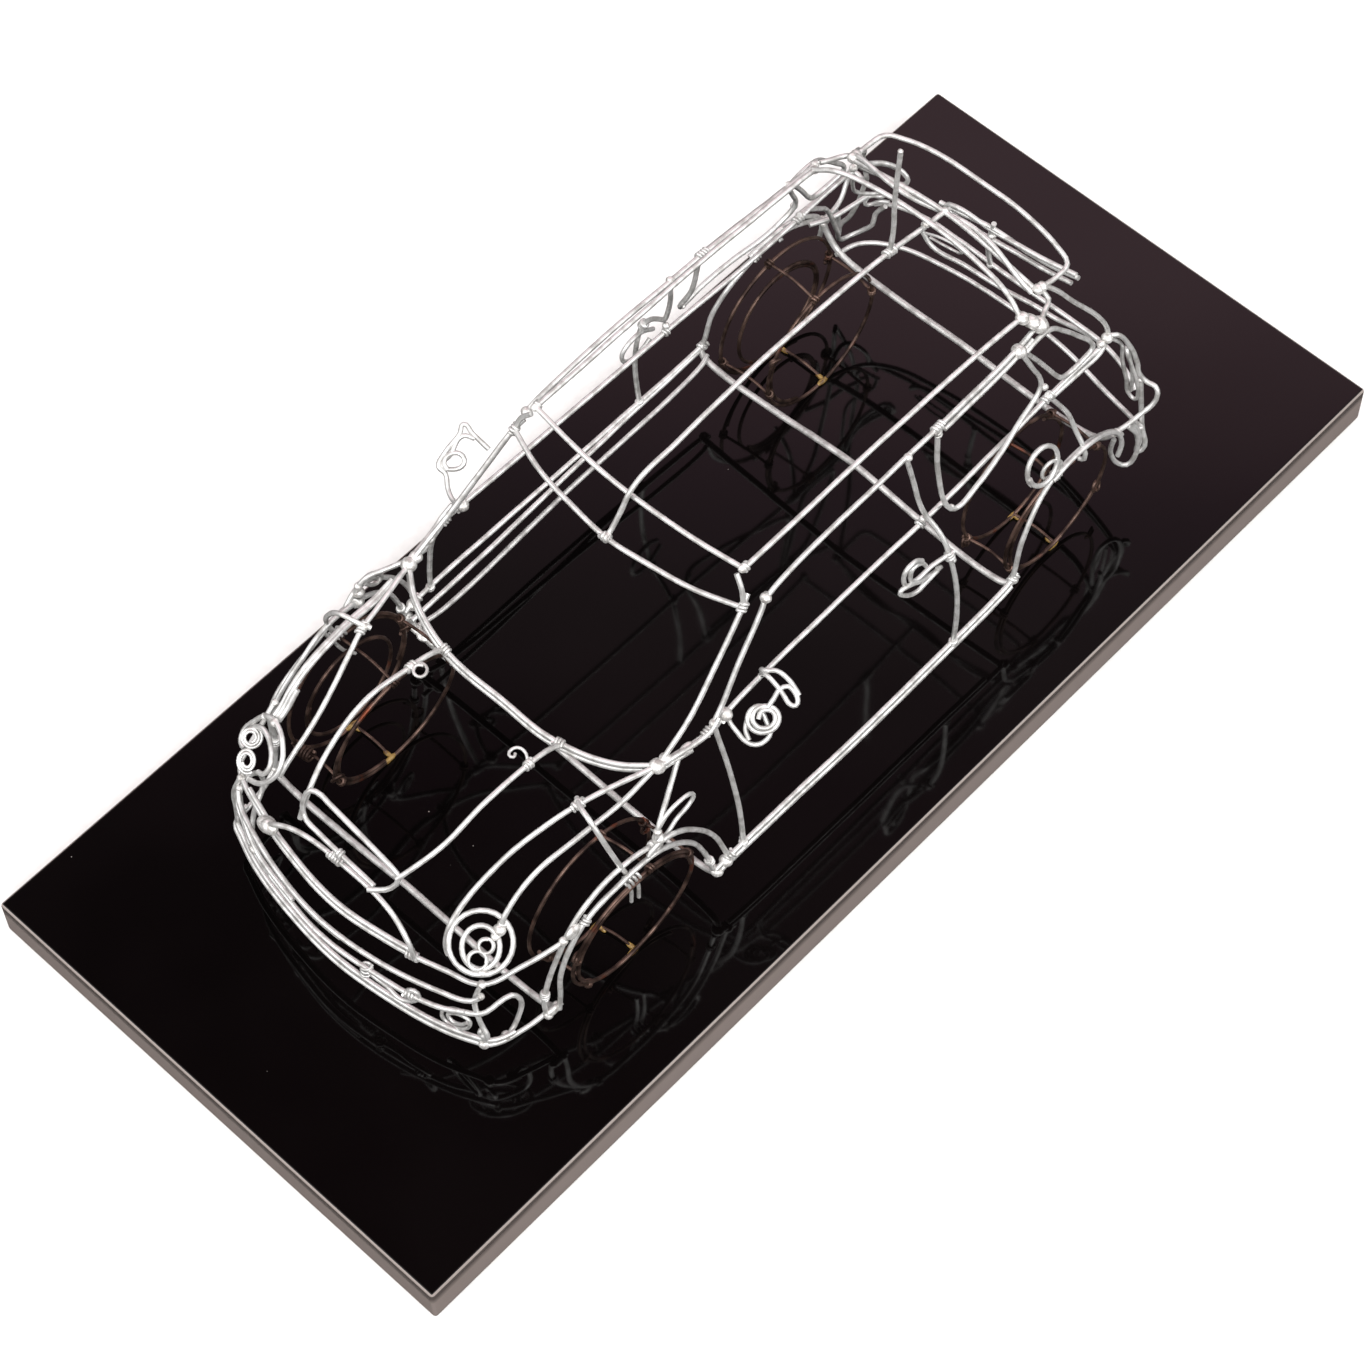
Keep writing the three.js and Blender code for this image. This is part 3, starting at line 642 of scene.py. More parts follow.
sideSolder = {
    "sill": [(53.8, -51.6, 17.4, 2.3), (53.4, -54.4, 15.6, 2.2), (53.4, 55, 20.6, 1.8)],
    "arch_left": [
        (49.8, -99, 42.4, 1.2, 2.6, 2.2), (49.9, -107.4, 14, 1.0, 2.4, 1.6), (49.6, -109, 13.4, 1.7),
    ],
    "arch_right": [(48, -105.8, 13.2, 1.6)],
    "arch": [(49.6, -71.6, 46.6, 2.2), (49.8, -70.4, 52, 1.4)],
    "archRear": [(41.2, 78.4, 64, 1.5), (50, 97.4, 37, 1.5)],
    "doorFront": [(43.6, -44.4, 62, 1.6)],
    "doorRear": [(38.3, 28.2, 88.2, 1.5), (42.4, 30.4, 64, 1.3)],
}
archTie = {"centre": (49.4, -79.3, 41), "heading": (0, 1, 0.05), "turns": 3.5, "reach": 1.35, "pitch": 1.2}


def makeSide(side, sign):
    def route(key):
        return sided(sign, sideSpec[key])

    def runsNamed(start, step):
        return [bent(route(key), step) for key in sideSpec if key.startswith(start) and key.endswith(side)]

    def wraps(key, turns=3, gauge=wrapGauge):
        wound = route(key if key in sideSpec else key + "_" + side)
        spots = wrapSpots[key] + wrapSpots.get(key + "_" + side, [])
        return [wrapOn(wound, spot, turns, gauge) for spot in sided(sign, spots)]

    def solderAt(*keys):
        return [lump for key in keys for lump in sided(sign, sideSolder[key])]

    sill = route("sill")
    strands = [bent(route("sillSecondRight"))]
    if side == "left":
        strands = [beside(sill, offset=(0.5, 0, -1.35), start=0.02, end=0.98),
                   beside(sill, offset=(0.1, 0, -2.7), start=0.04, end=0.9)]
    wirePiece("sill_wire_" + side, [bent(sill)] + strands + wraps("sill"), "sill_" + side,
              lumps=solderAt("sill"))
    arch = [bent(route(key)) for key in ("archInner_" + side, "archOuter_" + side, "archThird", "wingCross")]
    arch += wraps("archInner") + wraps("archOuter", 2)
    arch.append((helix(**{**archTie, "centre": sided(sign, [archTie["centre"]])[0]}), wrapGauge))
    arch += [(tail, thinGauge) for tail in runsNamed("tieTail", bend["stepMm"])]
    wirePiece("front_arch_wire_" + side, arch, "front_arch_" + side, lumps=solderAt("arch_" + side, "arch"))
    rear = [bent(route(key)) for key in ("archRear", "archRearSecond", "bodySide")]
    wirePiece("rear_arch_wire_" + side, rear + wraps("archRear"), "rear_arch_" + side,
              lumps=solderAt("archRear"))
    door = route("doorFront")
    wirePiece("door_front_wire_" + side, [bent(door), wrapOn(door, door[-1], 2)], "door_front_" + side,
              lumps=solderAt("doorFront"))
    door = route("doorRear")
    handle = [(run, loopGauge) for run in runsNamed("handle", 0.9)]
    wirePiece("door_rear_wire_" + side,
              [bent(door)] + handle + wraps("doorRear", gauge=thinGauge) + [wrapOn(door, door[-1], 2)],
              "door_rear_" + side, lumps=solderAt("doorRear"))


for side, sign in sides:
    makeSide(side, sign)
print("stage: body sides done")

# glass frames: posts, rails, belt and windows
frameSpec = {
    "windscreenPost": [
        (41, -61.4, 59.6), (40.9, -58, 61.6), (40.4, -49.2, 66.6), (38.6, -37.6, 76.4), (36.9, -27.3, 85.4),
        (36, -24.6, 87.4),
    ],
    "doorPillar": [
        (41, -60.6, 60), (41.5, -57, 59.8), (42.7, -51, 59.6), (43.5, -46.4, 60.6), (43.2, -43.4, 62.4),
        (41.2, -33.9, 72.2), (38.7, -21.8, 84), (38.2, -20.6, 85.6),
    ],
    "outerRail": [
        (38.8, -22.4, 83.6), (38.7, -20.4, 85), (38.5, -14, 86.6), (38.3, 12, 88.2), (37.7, 46, 88.2),
        (36.6, 70, 88), (36, 79, 89),
    ],
    "innerRail": [(33.3, -23.4, 93.4), (33.3, 25.7, 94.5), (33.3, 72, 92.6), (33.4, 75.6, 91.6)],
    "belt": [
        (43.9, -45.4, 60.2), (43.2, -38, 61.4), (42.4, -4, 62.2), (42.1, 30, 62.2), (41.3, 63, 62.4),
        (41, 93, 64.2), (41, 98.8, 64), (40.9, 101, 65.6), (40.2, 101.2, 68.4), (38.4, 99.4, 72.8),
        (34.6, 94, 80.6), (31.2, 88, 89.2), (29.6, 85.4, 91),
    ],
    "beltSecond": [(41.8, 79.6, 63.4), (41.7, 90, 63), (41.5, 99, 63.6), (41, 100.6, 65.4)],
    "quarter": [
        (38.2, 38.7, 88.4), (38.5, 38.6, 86.5), (40.4, 37.7, 73), (44, 37.2, 64), (45, 39, 61.6),
        (45, 47.4, 62.6), (43.8, 57.3, 64.4), (42, 66, 66.2), (41.2, 72.4, 68.2), (40.7, 75.4, 70.2),
        (40.2, 75.6, 72.6), (39.2, 73.2, 78.6), (37.9, 69.9, 86.4), (37.3, 69.2, 88),
    ],
    "quarterLight": [
        (38, 71.3, 86), (37.9, 75.5, 87), (38, 80.3, 86.4), (38.6, 84.4, 82.4), (39.8, 90.4, 75),
        (40.8, 94.4, 69.4), (41.1, 94.8, 67.2), (41.2, 92, 66.5), (41.3, 86, 66.2), (41.2, 83.2, 66.8),
        (40.8, 81.2, 69.2), (40, 78.3, 74.2), (38.9, 74.5, 80.7), (38.1, 71.6, 85.4),
    ],
    "mirrorArm_left": [
        (42.4, -26.6, 61.8), (43.2, -27.6, 65.4), (44.5, -28, 66.8), (46.6, -26.1, 66.7),
        (49.4, -25.5, 65.8), (52.3, -25.7, 64.4), (53.7, -26.1, 63.7),
    ],
    "mirrorFlag_left": [
        (42.6, -27.4, 61.9), (45.4, -28.4, 66.2), (48.2, -28.3, 65.1), (50.7, -28.5, 63.9),
        (53.5, -28.8, 62.6), (54.5, -28.1, 62.5), (54.1, -27, 63.1), (52.4, -26.3, 64.1),
        (50.5, -26.6, 64.8), (49.6, -28.3, 64.5), (49.8, -30.6, 63.4), (50, -32.9, 62.3),
    ],
    "mirrorCoil_left": [
        (49.9, -32.6, 62.1), (47.6, -34.6, 61.9), (47.8, -37.5, 60.5), (50.1, -38.3, 59.2),
        (52.6, -36.8, 58.8), (53.8, -34.4, 59.4), (53, -32.2, 60.6), (50.9, -31.8, 61.7),
        (48.7, -33.7, 62.2), (48.3, -36.2, 61.4), (50.2, -37.4, 60.2), (52.7, -35.9, 59.8),
        (53, -33.5, 60.6), (51.2, -32.7, 61.8), (49.4, -34.4, 61.8), (50, -36.1, 60.9),
    ],
    "mirrorLoop_left": [
        (43.1, -39.2, 61), (43.9, -40.1, 59.8), (48, -40.8, 57.8), (50.3, -40.7, 56.8), (52.3, -39.7, 56.4),
        (53.5, -37.8, 56.8), (53.3, -35.4, 57.9), (51.5, -34.6, 59), (47.8, -34.2, 60.7),
        (47.5, -36.6, 59.8), (48.6, -39, 58.3), (50.7, -40, 57),
    ],
    "mirrorArm_right": [
        (43.7, -41, 61.2), (46.4, -40.6, 59.6), (50, -38.9, 59.4), (52.8, -36.8, 61.1), (54.9, -36.9, 62),
        (55.8, -33.5, 63.8), (55.9, -28.2, 66.1), (56.6, -26.3, 67.3), (53.7, -26.2, 66.1),
        (48.5, -25.9, 64),
    ],
    "mirrorCoil_right": [
        (52.5, -26.6, 65.4), (55, -28.2, 65.8), (54.5, -33.1, 63.5), (54.4, -36, 62.1), (52, -34.9, 61.6),
        (50.8, -32.3, 62.2), (52.1, -31.2, 63.2), (54.2, -32.4, 63.8), (54.5, -35.4, 62.9),
        (52.7, -36, 61.9),
    ],
}


# the solder at the rear ends of the roof rails: one large mass on the left, small knots on the right
frameSolder = {
    "windscreenPost": [(41, -61, 60.2, 2.7), (41.2, -58.4, 60.4, 2.2)],
    "doorPillar": [(38.6, -21.4, 84.6, 1.9), (42.6, -53, 60, 1.3, 2.6, 1.0)],
    "outerRail_left": [
        (37.2, 69.6, 87.6, 2.2, 2.0, 1.8), (36.2, 78, 88.8, 2.6, 2.4, 2.2),
        (34.9, 76.5, 90.5, 2.7, 2.0, 1.6),
    ],
    "outerRail_right": [(37.2, 69.6, 87.6, 1.4), (36.2, 78, 88.8, 1.5)],
    "innerRail_left": [(33.4, 74.8, 92, 2.4)],
    "innerRail_right": [(33.4, 74.8, 92, 1.5)],
    "belt": [(30, 86.2, 90.4, 1.9), (40.9, 98.4, 65, 1.5)],
    "quarter": [(41.2, 76.2, 70, 1.3), (44.4, 38.6, 62.2, 1.0)],
    "mirror": [(43.4, -40.6, 61.2, 2.5)],
}
# where a wire is bound, and by how many turns
frameWraps = {
    "windscreenPost": [(36.9, -27.3, 85.4, 3)],
    "doorPillar": [(43.4, -45.4, 60.4, 3)],
    "outerRail": [(37.8, 39, 88.2, 4)],
    "innerRail": [(33.3, -22.4, 93.4, 2)],
    "belt": [(41.2, 77.4, 63, 4), (43.6, -41, 61, 3), (42.1, 30, 62.2, 2)],
    "quarter": [(38.3, 38.6, 87.4, 2)],
}


def makeFrames(side, sign):
    def route(key):
        return sided(sign, frameSpec[key])

    def solderAt(key):
        return sided(sign, frameSolder[key])

    def wraps(key):
        return [wrapOn(route(key), spot, turns) for *spot, turns in sided(sign, frameWraps[key])]

    wirePiece("windscreen_post_wire_" + side, [bent(route("windscreenPost"))] + wraps("windscreenPost"),
              "windscreen_post_" + side, lumps=solderAt("windscreenPost"))
    pillar = route("doorPillar")
    pillarRuns = [bent(pillar), beside(pillar, offset=(sign * 0.8, 0.4, 0.8), start=0.02, end=0.36),
                  beside(pillar, offset=(sign * 0.5, -0.5, -1.2), start=0.0, end=0.2)]
    wirePiece("door_pillar_wire_" + side, pillarRuns + wraps("doorPillar"), "door_pillar_" + side,
              lumps=solderAt("doorPillar"))
    rail = route("outerRail")
    railRuns = [bent(rail), beside(rail, offset=(sign * 0.9, 0, -1.2), start=0.62, end=0.97)]
    wirePiece("outer_rail_wire_" + side, railRuns + wraps("outerRail"), "outer_rail_" + side,
              lumps=solderAt("outerRail_" + side))
    wirePiece("inner_rail_wire_" + side, [bent(route("innerRail"))] + wraps("innerRail"), "inner_rail_" + side,
              lumps=solderAt("innerRail_" + side))
    wirePiece("belt_wire_" + side, [bent(route("belt")), bent(route("beltSecond"))] + wraps("belt"),
              ["belt_" + side, "tailgate_edge_" + side], lumps=solderAt("belt"))
    windows = [bent(route("quarter")), bent(route("quarterLight"))]
    wirePiece("quarter_window_wire_" + side, windows + wraps("quarter"), "quarter_window_" + side,
              lumps=solderAt("quarter"))
    loops = [(bent(route(key), step=0.8), loopGauge)
             for key in frameSpec if key.startswith("mirror") and key.endswith(side)]
    wirePiece("mirror_wire_" + side, loops, "mirror_" + side, lumps=solderAt("mirror"))


for side, sign in sides:
    makeFrames(side, sign)
print("stage: window frames done")

# nose
noseSpec = {
    "bumperLower": [(0, -132.5, 10), (16, -131.2, 10), (32, -128, 10), (40, -125, 10), (44, -123, 10.6)],
    "bumperLower_left": [(47.4, -115, 11.6), (49, -108, 13), (50, -104.6, 14)],
    "bumperLower_right": [(45.2, -117.4, 10.4), (46.3, -111, 11), (47.6, -106.2, 12.6)],
    "bumperUpper": [
        (0, -133.3, 21.5), (16, -131.6, 21.5), (32, -127.8, 21.5), (37.7, -124.7, 22), (40.9, -123.2, 23),
        (42.5, -121.6, 24), (43.4, -118.6, 25.4),
    ],
    "bumperUpper_left": [
        (44.4, -115.3, 26), (45.2, -113.8, 23.8), (45.4, -113.3, 20), (45.2, -114, 15.8), (45.2, -116, 12),
        (45.6, -118.6, 11),
    ],
    "bumperUpper_right": [
        (44.2, -115.6, 25), (43.8, -112.8, 20.4), (42.8, -114.6, 17), (42, -117.1, 15.5),
        (41.2, -119.6, 12.2), (40, -121.4, 10),
    ],
    "hookedStrand": [
        (11.6, -131.9, 20.6), (12.9, -131.8, 19.4), (18.4, -131.1, 18.2), (22.8, -131, 17.6),
        (26, -129.9, 19.4), (27.2, -129, 22.1), (26, -129.2, 23.6), (23.8, -130, 21.6),
    ],
    "filler": [
        (-40.6, -122.7, 27.6), (-35.8, -125.5, 25.6), (-30.4, -128, 23.6), (-25, -129.7, 22.4),
        (-22, -130.4, 22.2),
    ],
    "bumperMiddle": [
        (0, -132.5, 28), (16, -131, 28), (32, -126.7, 28), (39.5, -123.4, 28), (41.4, -121.4, 30.4),
    ],
    "frontRail": [(0, -129.3, 34), (16, -127.6, 34), (32, -123.6, 34), (40.6, -120.4, 34)],
    "frontRail_left": [(45, -112, 36.5), (48.6, -103, 39.5), (49.2, -101, 40.4)],
    "frontRail_right": [(43.4, -118.4, 34.2), (45, -114.4, 34.8), (47, -107, 36.6), (48.2, -101.6, 38.2)],
    "grilleTop": [(0, -124, 45.5), (12, -124.2, 44.5), (18, -125, 43)],
    "grilleTop_left": [(23.4, -126.4, 39.6), (24.4, -126.4, 35), (24, -125.6, 33)],
    "grilleTop_right": [(22.8, -126.3, 40.6), (25.4, -126.2, 37.2), (26.8, -125.4, 34)],
    "slot": [
        (10.4, -124.2, 49.3), (-10, -123.5, 50.5), (-12.6, -123.3, 50.8), (-14.4, -122.6, 52),
        (-14.6, -121.4, 56.8), (-13.4, -120, 60), (-11, -119.2, 59.7), (-8.6, -119.3, 59.2),
        (10.8, -120, 56.2), (13.2, -120.1, 55.6), (15.2, -120.4, 53.8), (14.6, -122.4, 51.4),
        (12.4, -124.2, 49.9), (10, -125.9, 49.4),
    ],
    "strut_left": [
        (40.6, -120.4, 34.4), (39.4, -121.3, 29.4), (39.4, -122.4, 25.6), (41.2, -123.3, 21.8),
        (42.9, -123.6, 18.6), (44.2, -123.8, 17.4), (43.8, -124, 15.3), (42.3, -124, 14.6),
        (41.9, -123.8, 16.6), (42.5, -123.7, 13), (42.6, -123.6, 10.2),
    ],
    "strut_right": [
        (40.6, -119.4, 36), (42, -121, 31), (43, -122.1, 26.4), (43.3, -122.4, 19), (43.4, -122.8, 11.6),
    ],
    "fog": [
        (38.6, -124.6, 22.6), (34.4, -125.4, 20.2), (31, -125.9, 14.4), (31.6, -125.9, 10.6),
        (34.6, -125.7, 11), (37.2, -125.4, 13.3), (39.8, -125.1, 18.3), (39.7, -125.1, 21),
        (37.4, -125.3, 20.6), (34.3, -125.6, 18), (32.9, -125.8, 15.2), (34.1, -125.8, 13.9),
        (36.7, -125.5, 15.2), (39, -125.1, 18.5),
    ],
}


noseSolder = {
    "bumperLower": [
        (49.6, -106, 13.6, 1.7), (42.6, -123.7, 10.4, 2.0), (45.4, -119, 11.2, 1.8),
        (-47.4, -106.6, 12.4, 1.4),
    ],
    "bumperUpper": [(-29.6, -128.5, 22.6, 2.0, 1.2, 1.0)],
    "bumperMiddle": [(41, -121.6, 30, 1.2), (-41, -121.6, 30, 1.2)],
    "frontRail": [
        (-24.2, -126.4, 38, 2.6, 1.9, 2.0), (-26, -125.8, 35.8, 3.0, 2.2, 2.2), (23.6, -126, 34.6, 1.4),
        (49, -101.6, 40.2, 1.5), (-48, -102, 38, 1.4),
    ],
    "strut": [(40.6, -120.6, 34.2, 1.5)],
}
bumperTie = {"centre": (12.2, -131.9, 20), "heading": (0.05, 0.1, 1), "turns": 3, "reach": 1.3, "pitch": 1.5}


def makeNose(spec, solderAt):
    def bow(key):
        return sided(-1, reversed(spec[key + "_right"])) + across(spec[key]) + spec[key + "_left"]

    lower, upper, middle = bow("bumperLower"), bow("bumperUpper"), across(spec["bumperMiddle"])
    rail, grille, slot = bow("frontRail"), bow("grilleTop"), spec["slot"]
    wirePiece("bumper_lower_wire", [bent(lower), beside(lower, offset=(0, 0.7, 1.3), start=0.1, end=0.9)],
              "bumper_lower", lumps=solderAt["bumperLower"])
    upperRuns = [bent(upper), (helix(**bumperTie), wrapGauge), (bent(spec["hookedStrand"], step=0.9), hookGauge),
                 wrapOn(upper, (24.6, -130, 21.5)), beside(upper, offset=(0.2, 0.3, 1.3), start=0.16, end=0.42),
                 bent(spec["filler"])]
    wirePiece("bumper_upper_wire", upperRuns, "bumper_upper", lumps=solderAt["bumperUpper"])
    wirePiece("bumper_middle_wire", [bent(middle), beside(middle, offset=(0, 0.2, -1.4), start=0.03, end=0.56)],
              "bumper_middle", lumps=solderAt["bumperMiddle"])
    railRuns = [bent(rail), beside(rail, offset=(0, 0.5, 1.4), start=0.2, end=0.68), bent(grille),
                wrapOn(rail, (23.4, -125.9, 34), 4), wrapOn(rail, (-26.2, -125.2, 34)),
                wrapOn(grille, (-2.6, -124, 45.4), 5)]
    wirePiece("front_rail_wire", railRuns, "front_rail", lumps=solderAt["frontRail"])
    wirePiece("bonnet_slot_wire", [bent(slot), wrapOn(slot, (-0.6, -123.8, 50), 2)], "bonnet_slot")
    for side, sign in sides:
        wirePiece("corner_strut_" + side, [bent(sided(sign, spec["strut_" + side]), step=0.9)],
                  lumps=sided(sign, solderAt["strut"]))
    wirePiece("fog_lamp_curl", [bent(spec["fog"], step=0.8)], gauge=thinGauge)


makeNose(noseSpec, noseSolder)

# places on a headlamp's face are (across, up) from its middle; rings and coils add a radius and a narrowing
lampSpec = {
    "left": {
        "centre": (36.8, -115.4, 43), "facing": (0.4, -0.4, 0.83),
        "coilFacing": (0.4, -0.4, 0.83), "coilTurns": (1.9, 0.84),
        "rings": [(-0.6, 0, 7.6, 1.0), (-0.7, -1.0, 5.2, 0.85)],
        "lines": [],
        "coils": [(0.5, -0.7, 1.9, 1.0), (-1.5, -3.9, 2.4, 1.0)],
        "knots": [(2.9, 1.4, 1.6), (3.8, 2.8, 2.1), (4.6, 4.2, 1.7), (-0.4, -7.0, 1.5)],
    },
    "right": {
        "centre": (-37.6, -116.2, 45.4), "facing": (-0.33, -0.66, 0.67),
        "coilFacing": (0.36, -0.38, 0.86), "coilTurns": (2.3, 0.42),
        "rings": [],
        "lines": [
            [(4.4, -6.0), (7.2, -3.6), (8.9, -0.2), (9.1, 3.5), (7.2, 6.4), (4.9, 7.8), (1.4, 8.8), (-2.3, 8.3),
             (-5.9, 5.9), (-7.1, 2.1), (-7.6, -1.4), (-6.9, -3.4), (-5.4, -4.5), (-3.4, -4.1)],
            [(-6.4, 0.7), (-4.3, 3.4), (-1.2, 4.5), (2.3, 4.2), (4.8, 3.0), (6.4, 1.1), (6.3, -1.0),
             (4.6, -2.5)],
        ],
        "coils": [(-3.9, -0.3, 2.7, 0.95), (0.2, -4.3, 3.1, 0.76)],
        "knots": [(-2.3, 8.1, 1.5), (-5.9, 5.6, 1.2)],
    },
}


def makeLamp(side, spec):
    facing = Vector(spec["facing"]).normalized()
    high = (Vector((0, 0, 1)) - facing * facing.z).normalized()
    wide = high.cross(facing)

    def spot(right, up):
        return Vector(spec["centre"]) + wide * right + high * up

    turns, closing = spec["coilTurns"]
    runs = []
    for k, (x, y, reach, narrow) in enumerate(spec["rings"]):
        runs.append(curl(spot(x, y), facing, reach, reach * 0.98, 1.05, begin=3.6 - 2.8 * k, squash=narrow))
    for line in spec["lines"]:
        runs.append(bent([spot(*place) for place in line], step=0.9))
    for k, (x, y, reach, narrow) in enumerate(spec["coils"]):
        coil = curl(spot(x, y) + facing * 0.5, spec["coilFacing"], reach, reach * closing, turns,
                    begin=1.0 + 1.6 * k, squash=narrow, rise=0.3)
        runs.append((coil, wrapGauge))
    wirePiece("headlamp_wire_" + side, runs, "headlamp_" + side,
              lumps=[(*spot(x, y), size) for x, y, size in spec["knots"]])


for side, sign in sides:
    makeLamp(side, lampSpec[side])
print("stage: nose done")

# bonnet and wings
bonnetSpec = {
    "crease": [
        (19.3, -70.8, 57.6), (19.4, -76, 60.4), (19.5, -81.6, 61.8), (19.9, -95.9, 63.4),
        (18.7, -109.9, 58.6),
    ],
    "crease_left": [(15.8, -119.4, 55), (15, -121, 54)],
    "crease_right": [(16, -118.6, 55.6), (15.5, -121.4, 52.4), (15.4, -123.2, 48.6)],
    "edge": [
        (41, -61, 60.3), (36.7, -76.3, 61.8), (35.4, -81.6, 62), (33.3, -88.3, 60.4), (29.6, -103.2, 54.1),
    ],
    "edge_left": [(28.6, -117.5, 45.6), (29, -119.6, 43), (29.6, -120.9, 39.4), (30.2, -121, 36.4)],
    "edge_right": [(28.7, -116.4, 46.6), (28.6, -117.6, 45.4)],
    "wingTop_left": [
        (40.9, -61.4, 60), (40.7, -72, 57.8), (40, -85, 58.3), (38.3, -99.7, 56), (38.4, -109.6, 50),
        (38.6, -110.6, 48.4),
    ],
    "wingTop_right": [
        (40.9, -61.4, 60), (40.7, -72, 57.8), (40, -81.7, 59), (39.4, -88, 59.2), (39, -94, 58.8),
        (38.6, -99.5, 57.2), (38.4, -102.2, 55.6), (38.4, -106, 51.8), (38.5, -108.3, 50.2),
        (38.8, -109.6, 48.8),
    ],
    "wingRear": [
        (41.9, -54.4, 59), (43.4, -57.6, 57.2), (46.8, -64.2, 55.4), (48.6, -67.7, 54.6), (49.6, -70, 52.6),
        (50.2, -71.4, 48.6),
    ],
    "curl_left": [
        (19.5, -81.7, 61.8), (16.8, -80, 62.4), (15, -80.4, 62.8), (14.3, -82, 63), (14.8, -83.3, 63),
        (16, -83, 62.8), (15.5, -81.9, 62.6),
    ],
    "curl_right": [
        (19.4, -80.1, 61.8), (17.5, -79, 62.2), (15.5, -79.9, 62.4), (15.3, -82.1, 62.6),
        (17.3, -82.5, 62.6), (18.4, -80.6, 62.6), (17, -79.6, 62.8),
    ],
    "sideLamp_left": [
        (49.6, -69.4, 53), (49.6, -66.6, 55.6), (49.6, -62, 56.2), (49.6, -59, 55), (49.6, -58, 52.4),
        (49.6, -59.8, 50.6), (49.6, -63.7, 49.4), (49.8, -66.9, 47.4), (50, -69.6, 47),
    ],
    "sideLamp_right": [
        (49.5, -70.3, 51.3), (49.5, -69.1, 53.1), (49.5, -66.7, 53.3), (49.5, -64.2, 50.8),
        (49.5, -63.3, 48.1), (49.5, -65, 47.5), (49.5, -67.6, 49.8), (49.5, -68.3, 52.2),
        (49.5, -66.4, 51.7), (49.5, -64.8, 49.3),
    ],
}


bonnetSolder = {
    "crease": [(19.4, -81.4, 62.2, 1.4)],
    "edge": [(35.2, -81.2, 62.4, 1.5), (50, -70.4, 49.2, 2.1)],
}


def makeBonnet(side, sign):
    def route(key):
        return sided(sign, bonnetSpec[key])

    crease, edge = route("crease") + route("crease_" + side), route("edge") + route("edge_" + side)
    wingTop = route("wingTop_" + side)
    creaseEnd = (bent(route("curl_" + side), step=0.7), wrapGauge)
    wirePiece("bonnet_crease_wire_" + side, [bent(crease), wrapOn(crease, (sign * 19.5, -82, 61.9)), creaseEnd],
              "bonnet_crease_" + side, lumps=sided(sign, bonnetSolder["crease"]))
    runs = [bent(edge), bent(wingTop), wrapOn(edge, (sign * 35.4, -81.6, 62), 4), bent(route("wingRear")),
            (bent(route("sideLamp_" + side), step=0.9), lampGauge)]
    if side == "right":
        runs += [beside(wingTop, offset=(-0.7, -0.3, 0.2), start=0.1, end=0.97),
                 beside(wingTop, offset=(0.9, 0.4, 0.1), start=0.8, end=0.98)]
    wirePiece("bonnet_edge_wire_" + side, runs, "bonnet_edge_" + side, lumps=sided(sign, bonnetSolder["edge"]))


for side, sign in sides:
    makeBonnet(side, sign)

# windscreen base, roof and tailgate
roofSpec = {
    "cowl": [(0, -71, 56.2), (17.3, -71.2, 57.7), (32.5, -66.9, 59), (41, -61, 60.3)],
    "headerLower": [(0, -34.6, 85), (12, -33.6, 85.4), (24, -31.7, 85.6), (36.9, -27.3, 85.4)],
    "headerUpper": [(0, -25.3, 92.2), (16, -25.3, 93.6), (33.3, -23.2, 93.6)],
    "centre": [
        (0, -35.4, 84), (0, -33.6, 84.9), (0, -29.4, 89.6), (0, -25, 95.1), (0, -9, 97.6), (0, 18.6, 100.2),
        (0, 50, 99.6), (0, 64.6, 98.3), (0, 78, 95.8), (0, 84.6, 95), (0, 86.4, 94.4),
    ],
    "antenna": [(0, 64.5, 98.3), (0.3, 65, 107), (0, 65.3, 116), (0.2, 66.2, 134.8)],
    "roofRear": [(0, 77.8, 98), (16, 77.3, 97), (28, 75.8, 95.2), (33.3, 74.3, 92.4)],
    "tailgateTop": [(0, 84.6, 95), (12, 84.2, 94.4), (29.5, 84.6, 90.2)],
    "spoiler": [
        (0, 99.3, 92.4), (14, 99.2, 91.8), (25, 98, 90), (29.4, 96.4, 89.1), (30.2, 92, 89.4),
        (29.8, 84.8, 90.4),
    ],
    "link": [(32.8, -25, 93), (35.4, -26, 90), (36.8, -27, 85.6)],
    "rearLink": [(30.2, 85.6, 89.8), (32.6, 85.8, 88.2), (34.2, 82.6, 88.4), (35.6, 79.4, 88.8)],
}


roofSolder = {
    "cowl": [(19, -70.8, 57.6, 1.4), (-19, -70.8, 57.6, 1.4)],
    "headerLower": [(0.4, -34.4, 85.2, 1.7)],
    "headerUpper": [(33.2, -23.4, 93.6, 1.5), (-33.2, -23.4, 93.6, 1.5)],
    "centre": [(0, 64.6, 98.8, 1.5), (0, 77.9, 96.6, 1.5), (0, 84.8, 95, 1.5), (0.1, 66.2, 134.6, 0.9)],
    "tailgateTop": [(29.8, 84.9, 90.4, 2.0), (-29.8, 84.9, 90.4, 2.0)],
}


